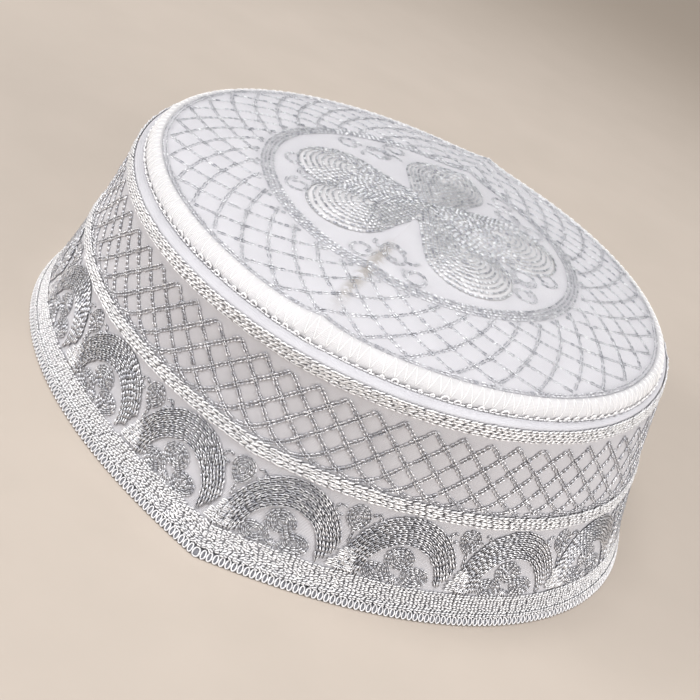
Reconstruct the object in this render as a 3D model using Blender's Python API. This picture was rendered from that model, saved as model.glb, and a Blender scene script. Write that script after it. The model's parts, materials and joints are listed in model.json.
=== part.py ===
"""Kufi cap: a stiff embroidered cap that folds flat, here opened out and standing on its rim.

Metres, +Z up. The front crease points to -Y, the back crease to +Y. The origin is on the
floor, in the middle of the rim. Sizes below are written in millimetres and built in metres.
"""

import math

import bmesh
import bpy

MM = 0.001

# Steps round the cap, counted from the front crease, so that both creases fall on a step.
STEPS = 64

# The side, at three heights. The crease column is how far the front and back are drawn out.
# (height, half_width, half_length, crease)
RIM = (0.0, 95.5, 79.1, 15.6)
BRAID_LINE = (31.3, 87.2, 77.0, 5.4)
WALL_TOP = (59.4, 81.5, 82.4, 0.5)
CREASE_SPREAD = 0.63  # radians round the cap in which a crease fades to a third

# Where the side turns over to the welt, and where the welt meets the crown.
# (height, half_width, half_length, crease)
SEAM = (60.0, 79.3, 76.1, 2.0)
CROWN_EDGE = (64.0, 76.6, 71.8, 2.0)

CROWN_RISE = 6.6
CROWN_POWER = 2.2
RIDGE_RISE = 1.6
RIDGE_SPREAD = 5.0

WALL_THICK = 2.2
CROWN_THICK = 2.0
GAP = 0.3
BRAID_THICK = 1.1

# Bands on the side. (bottom, top)
EDGING_BAND = (0.0, 2.3)
HEM_BAND = (2.7, 8.1)
LOWER_BRAID_BAND = (27.5, 31.3)
UPPER_BRAID_BAND = (55.2, 59.2)

BAND_SHOULDER = 0.3  # how far a band's rounded edges fall below its middle

WALL_FOOT = 1.4
WALL_HEIGHTS = (7.0, 13.5, 20.5, 28.0, 37.5, 48.0)
WALL_INSIDE_HEIGHTS = (57.0, 40.0, 20.0)

# How the wall's top edge is turned in to the seam. (from_row, inwards, up)
TURNOVER = (
    (WALL_TOP, 0.5, 0.4),
    (SEAM, -0.5, -0.2),
    (SEAM, 0.9, -1.3),
)

# Half of the welt's section outside the line from the crown's edge to the seam, and half
# inside it, which is fuller. (degrees round the section, bulge)
WELT_SECTION = (
    (0, 0.0),
    (45, 1.1),
    (90, 1.6),
    (135, 1.1),
    (180, 0.0),
    (225, -1.3),
    (270, -1.9),
    (315, -1.3),
)
WELT_LEAN = math.radians(45)

# The crown panel's lower face, bevelled edge and upper face, as shares of CROWN_EDGE.
# (share, below)
CROWN_LOOPS = (
    (0.3, CROWN_THICK),
    (0.7, CROWN_THICK),
    (0.965, CROWN_THICK),
    (0.991, 0.6),
    (0.992, 0.0),
    (0.84, 0.0),
    (0.64, 0.0),
    (0.42, 0.0),
    (0.18, 0.0),
)

# The section of the folded edge. The foot is narrower than the lips, so that it looks rolled.
EDGING_LIP = 1.0
EDGING_ROLL = 0.4
EDGING_ROLL_HEIGHT = 0.5

# The ring round the flower, as shares of CROWN_EDGE.
MEDALLION_INNER = 0.59
MEDALLION_OUTER = 0.648
MEDALLION_THICK = 0.9
MEDALLION_SHOULDER = (0.006, 0.25)  # (share inwards, drop)

# The flower. Bearings are degrees round from the front crease, as seen in the photograph.
# (bearing, length, half_width)
PETALS = (
    (49.0, 40.5, 13.5),
    (112.0, 42.0, 14.0),
    (185.0, 38.5, 12.5),
    (275.0, 40.0, 13.5),
    (323.0, 39.5, 12.5),
)
PETAL_NOTCH = 9.0  # how far the flower reaches between two petals
PETAL_EDGE = 0.7
PETAL_PUFF = 1.9
PETAL_FLAT = 0.35  # share of the puff that stays away from the petals' middle lines
PETAL_SHARES = (0.99, 0.75, 0.5, 0.25)
ROSETTE_UNDER = (0.3, 0.65, 1.0)
ROSETTE_GAP = 0.55  # wider than GAP, because its facets cross the crown's over the ridge

# The fans. Sizes are along the wall and up it, from the middle of each fan's foot line.
FANS = 17
FAN_FOOT = 8.8
FAN_OUTER = (15.2, 18.2)
FAN_INNER = (9.8, 10.4)
FAN_STEPS = 10
RELIEF = 0.8  # how thick the fans and trefoils are
FAN_BEVEL = 0.3
ARC_HEIGHT = 18.0  # the height at which distances round the cap are measured
ARC_STEPS = 720

# The trefoil inside each fan. (across, up, radius) of each spiral
TREFOIL_SPIRALS = (
    (0.0, 15.8, 2.8),
    (-4.9, 11.4, 2.9),
    (4.9, 11.4, 2.9),
)
TREFOIL_MIDDLE = 12.8
TREFOIL_STEPS = 18
TREFOIL_WAIST = 1.6
TREFOIL_BEVEL = 0.93


def through_rows(height, column):
    """The value at a height of the smooth curve through the side's three rows."""
    low, middle, high = RIM, BRAID_LINE, WALL_TOP
    a, b, c = low[0], middle[0], high[0]
    low_share = (height - b) * (height - c) / ((a - b) * (a - c))
    middle_share = (height - a) * (height - c) / ((b - a) * (b - c))
    high_share = (height - a) * (height - b) / ((c - a) * (c - b))
    return low[column] * low_share + middle[column] * middle_share + high[column] * high_share


def plan_point(half_width, half_length, crease, turn, side):
    """A point of one level of the cap, moved outwards by side. turn 0 is the front crease."""
    way = math.copysign(1.0, turn) if turn else 1.0
    turn = abs(turn)
    front = crease * math.exp(-turn / CREASE_SPREAD)
    back = crease * math.exp(-(math.pi - turn) / CREASE_SPREAD)
    across = half_width * math.sin(turn)
    along = -half_length * math.cos(turn) - front + back
    slope_across = half_width * math.cos(turn)
    slope_along = half_length * math.sin(turn) + (front + back) / CREASE_SPREAD
    if turn < 1e-9 or turn > math.pi - 1e-9:
        slope_along = 0.0
    size = math.hypot(slope_across, slope_along)
    across += side * slope_along / size
    along -= side * slope_across / size
    return way * across, along


def wall_point(turn, height, side):
    half_width = through_rows(height, 1)
    half_length = through_rows(height, 2)
    crease = through_rows(height, 3)
    x, y = plan_point(half_width, half_length, crease, turn, side)
    return x * MM, y * MM, height * MM


def turns():
    """The steps round the cap, from the back crease by way of the front one."""
    return [-math.pi + 2 * math.pi * step / STEPS for step in range(1, STEPS + 1)]


def wall_loop(height, side):
    return [wall_point(turn, height, side) for turn in turns()]


def free_loop(half_width, half_length, crease, height):
    loop = []
    for turn in turns():
        x, y = plan_point(half_width, half_length, crease, turn, 0.0)
        loop.append((x * MM, y * MM, height * MM))
    return loop


def crown_height(x, y):
    """Height of the crown's upper face over a point in millimetres."""
    ratio = min(1.0, math.hypot(x / CROWN_EDGE[1], y / CROWN_EDGE[2]))
    dome = CROWN_EDGE[0] + CROWN_RISE * (1 - ratio**CROWN_POWER)
    return dome + RIDGE_RISE * math.exp(-abs(x) / RIDGE_SPREAD)


def crown_loop(ratio, lift):
    loop = []
    for turn in turns():
        half_width, half_length, crease = (size * ratio for size in CROWN_EDGE[1:])
        x, y = plan_point(half_width, half_length, crease, turn, 0.0)
        loop.append((x * MM, y * MM, (crown_height(x, y) + lift) * MM))
    return loop


def new_object(name, points, faces, material):
    mesh = bpy.data.meshes.new(name)
    mesh.from_pydata(points, [], faces)
    work = bmesh.new()
    work.from_mesh(mesh)
    bmesh.ops.recalc_face_normals(work, faces=work.faces)
    work.to_mesh(mesh)
    work.free()
    mesh.materials.append(material)
    obj = bpy.data.objects.new(name, mesh)
    cap.objects.link(obj)
    return obj


def hoop(name, loops, material):
    """A closed ring of cloth whose section passes through the loops in turn."""
    points = [point for loop in loops for point in loop]
    faces = []
    for row in range(len(loops)):
        below = row * STEPS
        above = (row + 1) % len(loops) * STEPS
        for step in range(STEPS):
            after = (step + 1) % STEPS
            faces.append((below + step, below + after, above + after, above + step))
    return new_object(name, points, faces, material)


def disc(name, loops, bottom_centre, top_centre, material):
    """A closed panel: loops run from the lower face's inside, round the edge, to the upper's."""
    points = [point for loop in loops for point in loop]
    bottom = len(points)
    points += [bottom_centre, top_centre]
    faces = []
    for row in range(len(loops) - 1):
        below, above = row * STEPS, (row + 1) * STEPS
        for step in range(STEPS):
            after = (step + 1) % STEPS
            faces.append((below + step, below + after, above + after, above + step))
    last = (len(loops) - 1) * STEPS
    for step in range(STEPS):
        after = (step + 1) % STEPS
        faces.append((bottom, step, after))
        faces.append((bottom + 1, last + after, last + step))
    return new_object(name, points, faces, material)


def cloth(name, colour, roughness, sheen):
    material = bpy.data.materials.new(name)
    material.use_nodes = True
    surface = material.node_tree.nodes["Principled BSDF"]
    surface.inputs["Base Color"].default_value = (*colour, 1.0)
    surface.inputs["Roughness"].default_value = roughness
    surface.inputs["Sheen Weight"].default_value = sheen
    return material


def side_wall():
    outside = [wall_loop(height, 0.0) for height in (WALL_FOOT, *WALL_HEIGHTS, WALL_TOP[0])]
    turnover = []
    for (height, half_width, half_length, crease), inwards, up in TURNOVER:
        turnover.append(
            free_loop(half_width - inwards, half_length - inwards, crease, height + up)
        )
    inside = [wall_loop(height, -WALL_THICK) for height in (*WALL_INSIDE_HEIGHTS, WALL_FOOT)]
    hoop("side_wall", outside + turnover + inside, white_cloth)


def crown_welt():
    """The roll's section is an oval, leaning inwards between the seam and the crown's edge."""
    half = [(SEAM[column] - CROWN_EDGE[column]) / 2 for column in range(4)]
    middle = [(SEAM[column] + CROWN_EDGE[column]) / 2 for column in range(4)]
    loops = []
    for angle, bulge in WELT_SECTION:
        slide = -math.cos(math.radians(angle))
        outwards = bulge * math.cos(WELT_LEAN)
        upwards = bulge * math.sin(WELT_LEAN)
        half_width = middle[1] + half[1] * slide + outwards
        half_length = middle[2] + half[2] * slide + outwards
        height = middle[0] + half[0] * slide + upwards
        loops.append(free_loop(half_width, half_length, middle[3], height))
    hoop("crown_welt", loops, white_cloth)


def crown_panel():
    loops = [crown_loop(share, -below) for share, below in CROWN_LOOPS]
    top = crown_height(0.0, 0.0)
    under_middle = (0.0, 0.0, (top - CROWN_THICK) * MM)
    disc("crown_panel", loops, under_middle, (0.0, 0.0, top * MM), white_cloth)


def band(name, bottom, top, material):
    """Rows of chain stitch side by side, as one low rounded band on the wall."""
    face = GAP + BRAID_THICK
    loops = [
        wall_loop(bottom, GAP),
        wall_loop(bottom + BAND_SHOULDER, face - BAND_SHOULDER),
        wall_loop((bottom + top) / 2, face),
        wall_loop(top - BAND_SHOULDER, face - BAND_SHOULDER),
        wall_loop(top, GAP),
    ]
    hoop(name, loops, material)


def rim_edging():
    """The overlocked edge, folded round the foot of the wall and flat where it rests."""
    top = EDGING_BAND[1]
    fold = WALL_FOOT - GAP
    outer = GAP + EDGING_LIP
    inner = -WALL_THICK - GAP
    loops = [
        wall_loop(0.0, outer - EDGING_ROLL),
        wall_loop(EDGING_ROLL_HEIGHT, outer),
        wall_loop(top, outer - EDGING_ROLL / 2),
        wall_loop(top, GAP),
        wall_loop(fold, GAP),
        wall_loop(fold, inner),
        wall_loop(top, inner),
        wall_loop(top, inner - EDGING_LIP),
        wall_loop(0.0, inner - EDGING_LIP + EDGING_ROLL / 2),
    ]
    hoop("rim_edging", loops, silver_thread)


def medallion_ring():
    face = GAP + MEDALLION_THICK
    middle = (MEDALLION_INNER + MEDALLION_OUTER) / 2
    inwards, drop = MEDALLION_SHOULDER
    loops = [
        crown_loop(MEDALLION_INNER, GAP),
        crown_loop(MEDALLION_INNER + inwards, face - drop),
        crown_loop(middle, face),
        crown_loop(MEDALLION_OUTER - inwards, face - drop),
        crown_loop(MEDALLION_OUTER, GAP),
    ]
    hoop("medallion_ring", loops, silver_thread)


def petal_reach(turn):
    """How far the flower reaches at a bearing, and how near that is to a petal's middle line."""
    reach, nearness = PETAL_NOTCH, 0.0
    for bearing, length, half_width in PETALS:
        off = (math.degrees(turn) - bearing + 180) % 360 - 180
        # A petal is drop-shaped: straight sides that leave the middle, and a round end.
        spread = math.degrees(math.asin(half_width / (length - half_width)))
        if abs(off) >= spread:
            continue
        away = length - half_width
        sine = away * math.sin(math.radians(off))
        round_end = away * math.cos(math.radians(off)) + math.sqrt(half_width**2 - sine**2)
        if round_end > reach:
            reach = round_end
            nearness = 1 - (abs(off) / spread) ** 2
    return reach, nearness


def rosette():
    """The flower's outline is drawn in, ring by ring, to its middle, and each petal is puffed."""
    outer = []
    for turn in turns():
        reach, nearness = petal_reach(turn)
        outer.append((turn, reach, nearness))

    def ring(share, thick, puff):
        loop = []
        for turn, reach, nearness in outer:
            x = reach * share * math.sin(turn)
            y = -reach * share * math.cos(turn)
            fullness = PETAL_FLAT + (1 - PETAL_FLAT) * nearness * share
            lift = ROSETTE_GAP + thick + puff * (1 - share**4) * fullness
            loop.append((x * MM, y * MM, (crown_height(x, y) + lift) * MM))
        return loop

    loops = [ring(share, 0.0, 0.0) for share in ROSETTE_UNDER]
    loops += [ring(share, PETAL_EDGE, PETAL_PUFF) for share in PETAL_SHARES]
    bottom = crown_height(0.0, 0.0) + ROSETTE_GAP
    top = bottom + PETAL_EDGE + PETAL_PUFF * PETAL_FLAT
    disc("rosette", loops, (0.0, 0.0, bottom * MM), (0.0, 0.0, top * MM), silver_thread)


def arc_table():
    """Distance round the wall from the front crease, at ARC_HEIGHT, against the turn."""
    rows = [(0.0, 0.0)]
    last = wall_point(0.0, ARC_HEIGHT, 0.0)
    for step in range(1, ARC_STEPS + 1):
        turn = math.pi * step / ARC_STEPS
        point = wall_point(turn, ARC_HEIGHT, 0.0)
        rows.append((rows[-1][0] + math.dist(last, point) / MM, turn))
        last = point
    return rows


def turn_at(distance, table):
    """The turn at a signed distance round the wall from the front crease."""
    half_round = table[-1][0]
    distance = (distance + half_round) % (2 * half_round) - half_round
    size = abs(distance)
    for (near, near_turn), (far, far_turn) in zip(table, table[1:]):
        if size <= far:
            share = (size - near) / (far - near)
            return math.copysign(near_turn + share * (far_turn - near_turn), distance)
    return math.copysign(math.pi, distance)


def scroll_fans(table):
    """One fan to a repeat. The first starts at the front crease, and the middle one sits on the back."""
    pitch = 2 * table[-1][0] / FANS
    for number in range(FANS):
        middle = (number + 0.5) * pitch
        corners = []
        for step in range(FAN_STEPS + 1):
            angle = math.pi * step / FAN_STEPS
            section = []
            # (half_width, height) of the outline, how much it grows, how far it is off the wall
            for (half_width, height), grown, off in (
                (FAN_OUTER, 0.0, GAP),
                (FAN_OUTER, -FAN_BEVEL, GAP + RELIEF),
                (FAN_INNER, FAN_BEVEL, GAP + RELIEF),
                (FAN_INNER, 0.0, GAP),
            ):
                across = (half_width + grown) * math.cos(angle)
                up = (height + grown) * math.sin(angle)
                turn = turn_at(middle - across, table)
                section.append(wall_point(turn, FAN_FOOT + up, off))
            corners.append(section)
        points = [point for section in corners for point in section]
        faces = []
        for step in range(FAN_STEPS):
            for side in range(4):
                after = (side + 1) % 4
                here, there = 4 * step, 4 * (step + 1)
                faces.append((here + side, here + after, there + after, there + side))
        end = 4 * FAN_STEPS
        faces += [(0, 1, 2, 3), (end, end + 1, end + 2, end + 3)]
        new_object(f"scroll_fan_{number + 1:02d}", points, faces, silver_thread)


def trefoil_reach(angle):
    """How far the trefoil reaches from its middle at an angle."""
    reach = TREFOIL_WAIST
    for across, up, radius in TREFOIL_SPIRALS:
        rise = up - TREFOIL_MIDDLE
        away = math.hypot(across, rise)
        off = angle - math.atan2(rise, across)
        sine = away * math.sin(off)
        if abs(sine) < radius and math.cos(off) > 0:
            reach = max(reach, away * math.cos(off) + math.sqrt(radius**2 - sine**2))
    return reach


def trefoils(table):
    pitch = 2 * table[-1][0] / FANS
    for number in range(FANS):
        middle = (number + 0.5) * pitch
        points = []
        for off, share in ((GAP, 1.0), (GAP + RELIEF, TREFOIL_BEVEL)):
            for step in range(TREFOIL_STEPS):
                angle = math.pi / 2 + 2 * math.pi * step / TREFOIL_STEPS
                reach = trefoil_reach(angle) * share
                turn = turn_at(middle + reach * math.cos(angle), table)
                points.append(wall_point(turn, TREFOIL_MIDDLE + reach * math.sin(angle), off))
        centre = turn_at(middle, table)
        points.append(wall_point(centre, TREFOIL_MIDDLE, GAP))
        points.append(wall_point(centre, TREFOIL_MIDDLE, GAP + RELIEF))
        low, high = 2 * TREFOIL_STEPS, 2 * TREFOIL_STEPS + 1
        faces = []
        for step in range(TREFOIL_STEPS):
            after = (step + 1) % TREFOIL_STEPS
            faces.append((step, after, TREFOIL_STEPS + after, TREFOIL_STEPS + step))
            faces.append((low, after, step))
            faces.append((high, TREFOIL_STEPS + step, TREFOIL_STEPS + after))
        new_object(f"trefoil_{number + 1:02d}", points, faces, silver_thread)


for old in list(bpy.data.objects):
    bpy.data.objects.remove(old, do_unlink=True)

cap = bpy.data.collections.new("kufi_cap")
bpy.context.scene.collection.children.link(cap)

white_cloth = cloth("white_cloth", (0.80, 0.79, 0.82), 0.65, 0.3)
silver_thread = cloth("silver_thread", (0.55, 0.56, 0.60), 0.42, 0.1)

side_wall()
crown_welt()
crown_panel()
band("upper_braid", *UPPER_BRAID_BAND, silver_thread)
band("lower_braid", *LOWER_BRAID_BAND, silver_thread)
band("hem_braid", *HEM_BAND, silver_thread)
rim_edging()
medallion_ring()
rosette()
arcs = arc_table()
scroll_fans(arcs)
trefoils(arcs)
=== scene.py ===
# %% [markdown]
# # An embroidered kufi cap
# A kufi is a stiff round cap. This one is made of four pieces of white cloth: a side band, a
# padded welt on top of it, a low domed crown, and an edging folded round the rim. Rows of silver
# chain stitch cover it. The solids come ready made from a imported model, which sets every size.
# This file dresses them: fine cloth over each solid, then stitches laid on the cloth in rows,
# as the embroidery machine lays them. First come the solids, which stay where they are.

import json
import math

import bpy
import numpy as np
from mathutils import Matrix, Vector

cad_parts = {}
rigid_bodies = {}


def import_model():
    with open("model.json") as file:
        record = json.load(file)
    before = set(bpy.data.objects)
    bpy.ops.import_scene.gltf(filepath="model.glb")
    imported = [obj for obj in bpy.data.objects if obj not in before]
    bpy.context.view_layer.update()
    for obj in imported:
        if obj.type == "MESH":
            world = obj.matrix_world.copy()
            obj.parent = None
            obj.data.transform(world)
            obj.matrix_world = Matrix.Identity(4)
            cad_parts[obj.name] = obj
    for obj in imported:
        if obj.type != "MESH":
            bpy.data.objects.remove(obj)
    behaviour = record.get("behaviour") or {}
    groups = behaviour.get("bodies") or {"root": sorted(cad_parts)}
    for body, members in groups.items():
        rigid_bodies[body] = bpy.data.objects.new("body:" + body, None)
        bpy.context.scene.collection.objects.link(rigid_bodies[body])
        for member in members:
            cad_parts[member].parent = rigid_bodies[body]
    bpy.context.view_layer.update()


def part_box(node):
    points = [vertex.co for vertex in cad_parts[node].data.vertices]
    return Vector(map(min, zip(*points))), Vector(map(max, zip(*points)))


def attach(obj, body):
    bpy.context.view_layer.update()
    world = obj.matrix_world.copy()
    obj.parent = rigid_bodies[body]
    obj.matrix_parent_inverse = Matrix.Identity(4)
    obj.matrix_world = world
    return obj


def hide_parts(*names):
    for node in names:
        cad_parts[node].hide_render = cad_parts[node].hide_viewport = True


for leftover in list(bpy.data.objects):
    bpy.data.objects.remove(leftover, do_unlink=True)

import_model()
MM = 0.001

# %% [markdown]
# ## The camera
# The cap was photographed from a little to the right of its front crease and from above, and
# it was tipped over to the right. Here it rests flat, so the camera is rolled instead, by as
# much as the cap was tipped. The direction could be set with a Track To constraint, but a
# constraint cannot roll the picture, so the camera's three axes are worked out and written
# into its matrix.

# %% Stand the camera
CAMERA_BEARING = math.radians(8.71)
CAMERA_ELEVATION = math.radians(27.24)
CAMERA_ROLL = math.radians(25.87)
CAMERA_DISTANCE = 0.44178
AIM = Vector((0.0, 0.0, 0.038))
LENS = 77.5
PICTURE = 700.0
OFF_CENTRE = (30.74, -46.52)  # how far the aim point is right of and above the middle, in pixels

looking = Vector(
    (
        -math.cos(CAMERA_ELEVATION) * math.sin(CAMERA_BEARING),
        math.cos(CAMERA_ELEVATION) * math.cos(CAMERA_BEARING),
        -math.sin(CAMERA_ELEVATION),
    )
)
level_right = looking.cross(Vector((0.0, 0.0, 1.0))).normalized()
level_up = level_right.cross(looking)
right = math.cos(CAMERA_ROLL) * level_right + math.sin(CAMERA_ROLL) * level_up
up = -math.sin(CAMERA_ROLL) * level_right + math.cos(CAMERA_ROLL) * level_up

camera = bpy.data.objects.new("camera", bpy.data.cameras.new("camera"))
bpy.context.scene.collection.objects.link(camera)
camera.matrix_world = (
    Matrix.Translation(AIM - looking * CAMERA_DISTANCE)
    @ Matrix((right, up, -looking)).transposed().to_4x4()
)
camera.data.sensor_width = 36.0
camera.data.lens = LENS
camera.data.shift_x = -OFF_CENTRE[0] / PICTURE
camera.data.shift_y = OFF_CENTRE[1] / PICTURE
bpy.context.scene.camera = camera
print("camera at", [round(part, 3) for part in camera.matrix_world.translation])

# %% [markdown]
# ## The shape of the side band
# Seen from above the band is an oval that is drawn out to a crease in front and behind, more
# at the rim than at the top. Three levels set it, and a smooth curve runs through them. The
# same rule made the solids, so whatever is laid on it lands on the solid. Places on the band
# are given as a tailor would: so many millimetres round from the front crease, and so many up.

# %% Find points on the side band
# (height, half_width, half_length, crease)
RIM = (0.0, 95.5, 79.1, 15.6)
BRAID_LINE = (31.3, 87.2, 77.0, 5.4)
WALL_TOP = (59.4, 81.5, 82.4, 0.5)
CREASE_SPREAD = 0.63


def through_levels(height, column):
    low, middle, high = RIM, BRAID_LINE, WALL_TOP
    a, b, c = low[0], middle[0], high[0]
    low_share = (height - b) * (height - c) / ((a - b) * (a - c))
    middle_share = (height - a) * (height - c) / ((b - a) * (b - c))
    high_share = (height - a) * (height - b) / ((c - a) * (c - b))
    return low[column] * low_share + middle[column] * middle_share + high[column] * high_share


def plan_point(half_width, half_length, crease, turn, off=0.0):
    """Across and along, at a turn from the front crease, moved outwards by off."""
    turn = (turn + math.pi) % (2 * math.pi) - math.pi
    way = np.where(turn < 0, -1.0, 1.0)
    turn = np.abs(turn)
    front = crease * np.exp(-turn / CREASE_SPREAD)
    back = crease * np.exp(-(math.pi - turn) / CREASE_SPREAD)
    across = half_width * np.sin(turn)
    along = -half_length * np.cos(turn) - front + back
    slope_across = half_width * np.cos(turn)
    slope_along = half_length * np.sin(turn) + (front + back) / CREASE_SPREAD
    slope_along = np.where((turn < 1e-6) | (turn > math.pi - 1e-6), 0.0, slope_along)
    size = np.hypot(slope_across, slope_along)
    return way * (across + off * slope_along / size), along - off * slope_across / size


print("the rim, from crease to middle:", round(RIM[2] + RIM[3], 1), "mm; half its width:", RIM[1], "mm")

# %% [markdown]
# A tailor measures with a tape, and so does this cell: it follows the oval at one height and
# adds up the length. A place in millimetres round is then looked up on that tape. That keeps
# the stitches evenly spaced, which a plain angle would not, since the oval is drawn out at its
# creases.

# %% Measure round the side band
TAPE_HEIGHT = 18.0  # the height at which the distance round is measured

half_turns = np.linspace(0.0, math.pi, 1441)
tape_sizes = [through_levels(TAPE_HEIGHT, column) for column in (1, 2, 3)]
tape = np.stack(plan_point(*tape_sizes, half_turns), -1)
tape_run = np.concatenate([[0.0], np.cumsum(np.linalg.norm(np.diff(tape, axis=0), axis=1))])
AROUND = 2 * tape_run[-1]


def turn_at(distance):
    """The turn at a distance round from the front crease, towards the right."""
    distance = (distance + AROUND / 2) % AROUND - AROUND / 2
    return np.sign(distance) * np.interp(np.abs(distance), tape_run, half_turns)


def bare_wall(distance, height, off=0.0):
    sizes = [through_levels(height, column) for column in (1, 2, 3)]
    x, y = plan_point(*sizes, turn_at(distance), off)
    return np.stack([x, y, height + 0.0 * x], -1)


print("round the band at", TAPE_HEIGHT, "mm up:", round(AROUND, 1), "mm")

# %% [markdown]
# ## The shape of the crown
# The crown is a low dome with a fold running from front to back, where the cap is creased to
# go flat in a pocket. Its pattern is set out by a turn from the front and by a share of the
# way from the middle to the edge, so one function turns those two into a point, and another
# goes back from a point to them.

# %% Find points on the crown
# (height, half_width, half_length, crease)
SEAM = (60.0, 79.3, 76.1, 2.0)
CROWN_EDGE = (64.0, 76.6, 71.8, 2.0)
CROWN_RISE = 6.6
CROWN_POWER = 2.2
RIDGE_RISE = 1.6
RIDGE_SPREAD = 5.0


def ridge(x):
    return RIDGE_RISE * np.exp(-np.abs(x) / RIDGE_SPREAD)


def crown_height(x, y):
    ratio = np.minimum(1.0, np.hypot(x / CROWN_EDGE[1], y / CROWN_EDGE[2]))
    return CROWN_EDGE[0] + CROWN_RISE * (1 - ratio**CROWN_POWER) + ridge(x)


round_turns = np.linspace(-math.pi, math.pi, 2881)[:-1]
edge_x, edge_y = plan_point(*CROWN_EDGE[1:], round_turns)
edge_bearing = np.arctan2(edge_x, -edge_y)
edge_reach = np.hypot(edge_x, edge_y)
in_order = np.argsort(edge_bearing)


def crown_xy(turn, ratio):
    return plan_point(*[size * ratio for size in CROWN_EDGE[1:]], turn)


def crown_turn_ratio(x, y):
    bearing = np.arctan2(x, -y)
    reach = np.interp(bearing, edge_bearing[in_order], edge_reach[in_order], period=2 * math.pi)
    turn = np.interp(bearing, edge_bearing[in_order], round_turns[in_order])
    return turn, np.hypot(x, y) / reach


print("crown edge:", round(2 * CROWN_EDGE[1], 1), "by", round(2 * edge_reach.max(), 1), "mm at most")

# %% [markdown]
# ## Relief in the cloth
# Cloth that is stitched through in a lattice puffs up between the lines, like a quilt, and
# stiffened cloth also has long soft waves. Both could be painted as bump, but then the edge
# of the cap would stay too smooth, so they are small heights added to the surface. The
# stitches are laid on the same surface, so they rise and dip with it. Here are the lattices.

# %% Set out the two lattices
WALL_VS = 64
WALL_V_START = 0.4
WALL_V_TOP = 52.9
WALL_V_FALL = 8.35  # how far a line falls while it goes one V sideways
WALL_V_SPAN = 3.0  # how many Vs sideways a line goes
WALL_V_FLAT = (2.0, 3.9)  # where it starts to level out, and how strongly
WALL_V_PITCH = AROUND / WALL_VS

CROWN_VS = 38
CROWN_V_START = 0.84
CROWN_V_OUTER = 0.972
CROWN_V_INNER = 0.655
CROWN_V_SWEEP = math.radians(25.6)
CROWN_V_PITCH = 2 * math.pi / CROWN_VS


def lattice_height(aside):
    """Height of a line of the side's lattice, aside Vs from where it starts."""
    start, strength = WALL_V_FLAT
    return WALL_V_TOP - WALL_V_FALL * aside + strength * np.maximum(0.0, aside - start) ** 2


asides = np.linspace(0.0, WALL_V_SPAN, 91)
WALL_V_FOOT = float(lattice_height(asides).min())


def pillow(phase_a, phase_b):
    """1 in the middle of a cell, 0 on its lines."""
    return np.sqrt(np.abs(np.sin(math.pi * phase_a) * np.sin(math.pi * phase_b)) + 1e-9)


def fade(value, low, high, soft):
    """1 between low and high, falling to 0 within soft of each."""
    return np.clip((value - low) / soft, 0.0, 1.0) * np.clip((high - value) / soft, 0.0, 1.0)


print("a V on the side:", round(WALL_V_PITCH, 2), "mm; on the crown:", round(360 / CROWN_VS, 1), "degrees")

# %% [markdown]
# The side's relief comes first: pillows between its lattice lines, fading out above and below,
# and four long waves round the cap. A Displace modifier could add them, but the stitches would
# then float over the cloth or sink into it. So one function gives the heights, and the cloth
# and the stitches both ask it.

# %% Add the relief to the side
CELL_PUFF = 0.34
CELL_FADE = 2.0  # mm in which the quilting dies out at the lattice's top and foot
CELL_PAST = 0.6  # how far below the lattice's foot the quilting still shows
WAVE_FADE = (2.0, 59.0, 9.0)  # where the waves are: (lowest, highest, soft)
# Long waves in the side. (times_round, waves_up, shift, height)
WAVES = (
    (3, 0.6, 0.4, 0.20),
    (7, -0.9, 1.9, 0.14),
    (12, 1.4, 0.9, 0.08),
    (19, -0.5, 2.7, 0.05),
)


def wall_relief(distance, height):
    aside = np.interp(-height, -lattice_height(asides), asides)
    place = (distance - WALL_V_START) / WALL_V_PITCH
    cells = pillow(place - aside, place + aside)
    cells = cells * fade(height, WALL_V_FOOT - CELL_PAST, WALL_V_TOP, CELL_FADE)
    waves = 0.0
    for times, rise, shift, size in WAVES:
        waves += size * np.sin(2 * math.pi * times * distance / AROUND + rise * height / 12 + shift)
    return CELL_PUFF * cells + waves * fade(height, *WAVE_FADE)


def on_wall(distance, height, off=0.0):
    return bare_wall(distance, height, off + wall_relief(distance, height))


print("relief at the widest cell:", CELL_PUFF, "mm")

# %% [markdown]
# The crown has pillows too, five soft dents where fingers have pressed it, and small puckers
# along the fold. Each dent is one smooth bump with its own place, width and height, so one can
# be moved without touching the rest.

# %% Add the relief to the crown
# Soft dents. (x, y, width, height)
DENTS = (
    (-34.0, 22.0, 17.0, -0.5),
    (41.0, -34.0, 14.0, 0.35),
    (28.0, 45.0, 13.0, -0.4),
    (-48.0, -24.0, 15.0, 0.3),
    (6.0, -52.0, 6.0, -0.35),
)
PUCKERS = (0.12, 1.7, 3.0)  # small puckers on the fold: (height, length, how far aside)
CROWN_CELL_FADE = 0.03
DENT_FADE = (-1.0, 0.985, 0.08)


def crown_relief(x, y):
    turn, ratio = crown_turn_ratio(x, y)
    swept = CROWN_V_SWEEP * (CROWN_V_OUTER - ratio) / (CROWN_V_OUTER - CROWN_V_INNER)
    place = turn / CROWN_V_PITCH - CROWN_V_START
    cells = pillow(place - swept / CROWN_V_PITCH, place + swept / CROWN_V_PITCH)
    cells = cells * fade(ratio, CROWN_V_INNER, CROWN_V_OUTER, CROWN_CELL_FADE)
    dents = 0.0
    for middle_x, middle_y, width, size in DENTS:
        dents += size * np.exp(-((x - middle_x) ** 2 + (y - middle_y) ** 2) / width**2)
    tall, long, wide = PUCKERS
    puckers = tall * np.sin(y / long) * np.exp(-np.abs(x) / wide)
    return CELL_PUFF * cells + (dents + puckers) * fade(ratio, *DENT_FADE)


def crown_top(x, y, off=0.0):
    return np.stack([x, y, crown_height(x, y) + crown_relief(x, y) + off], -1)


def on_crown(turn, ratio, off=0.0):
    return crown_top(*crown_xy(turn, ratio), off)


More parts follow.
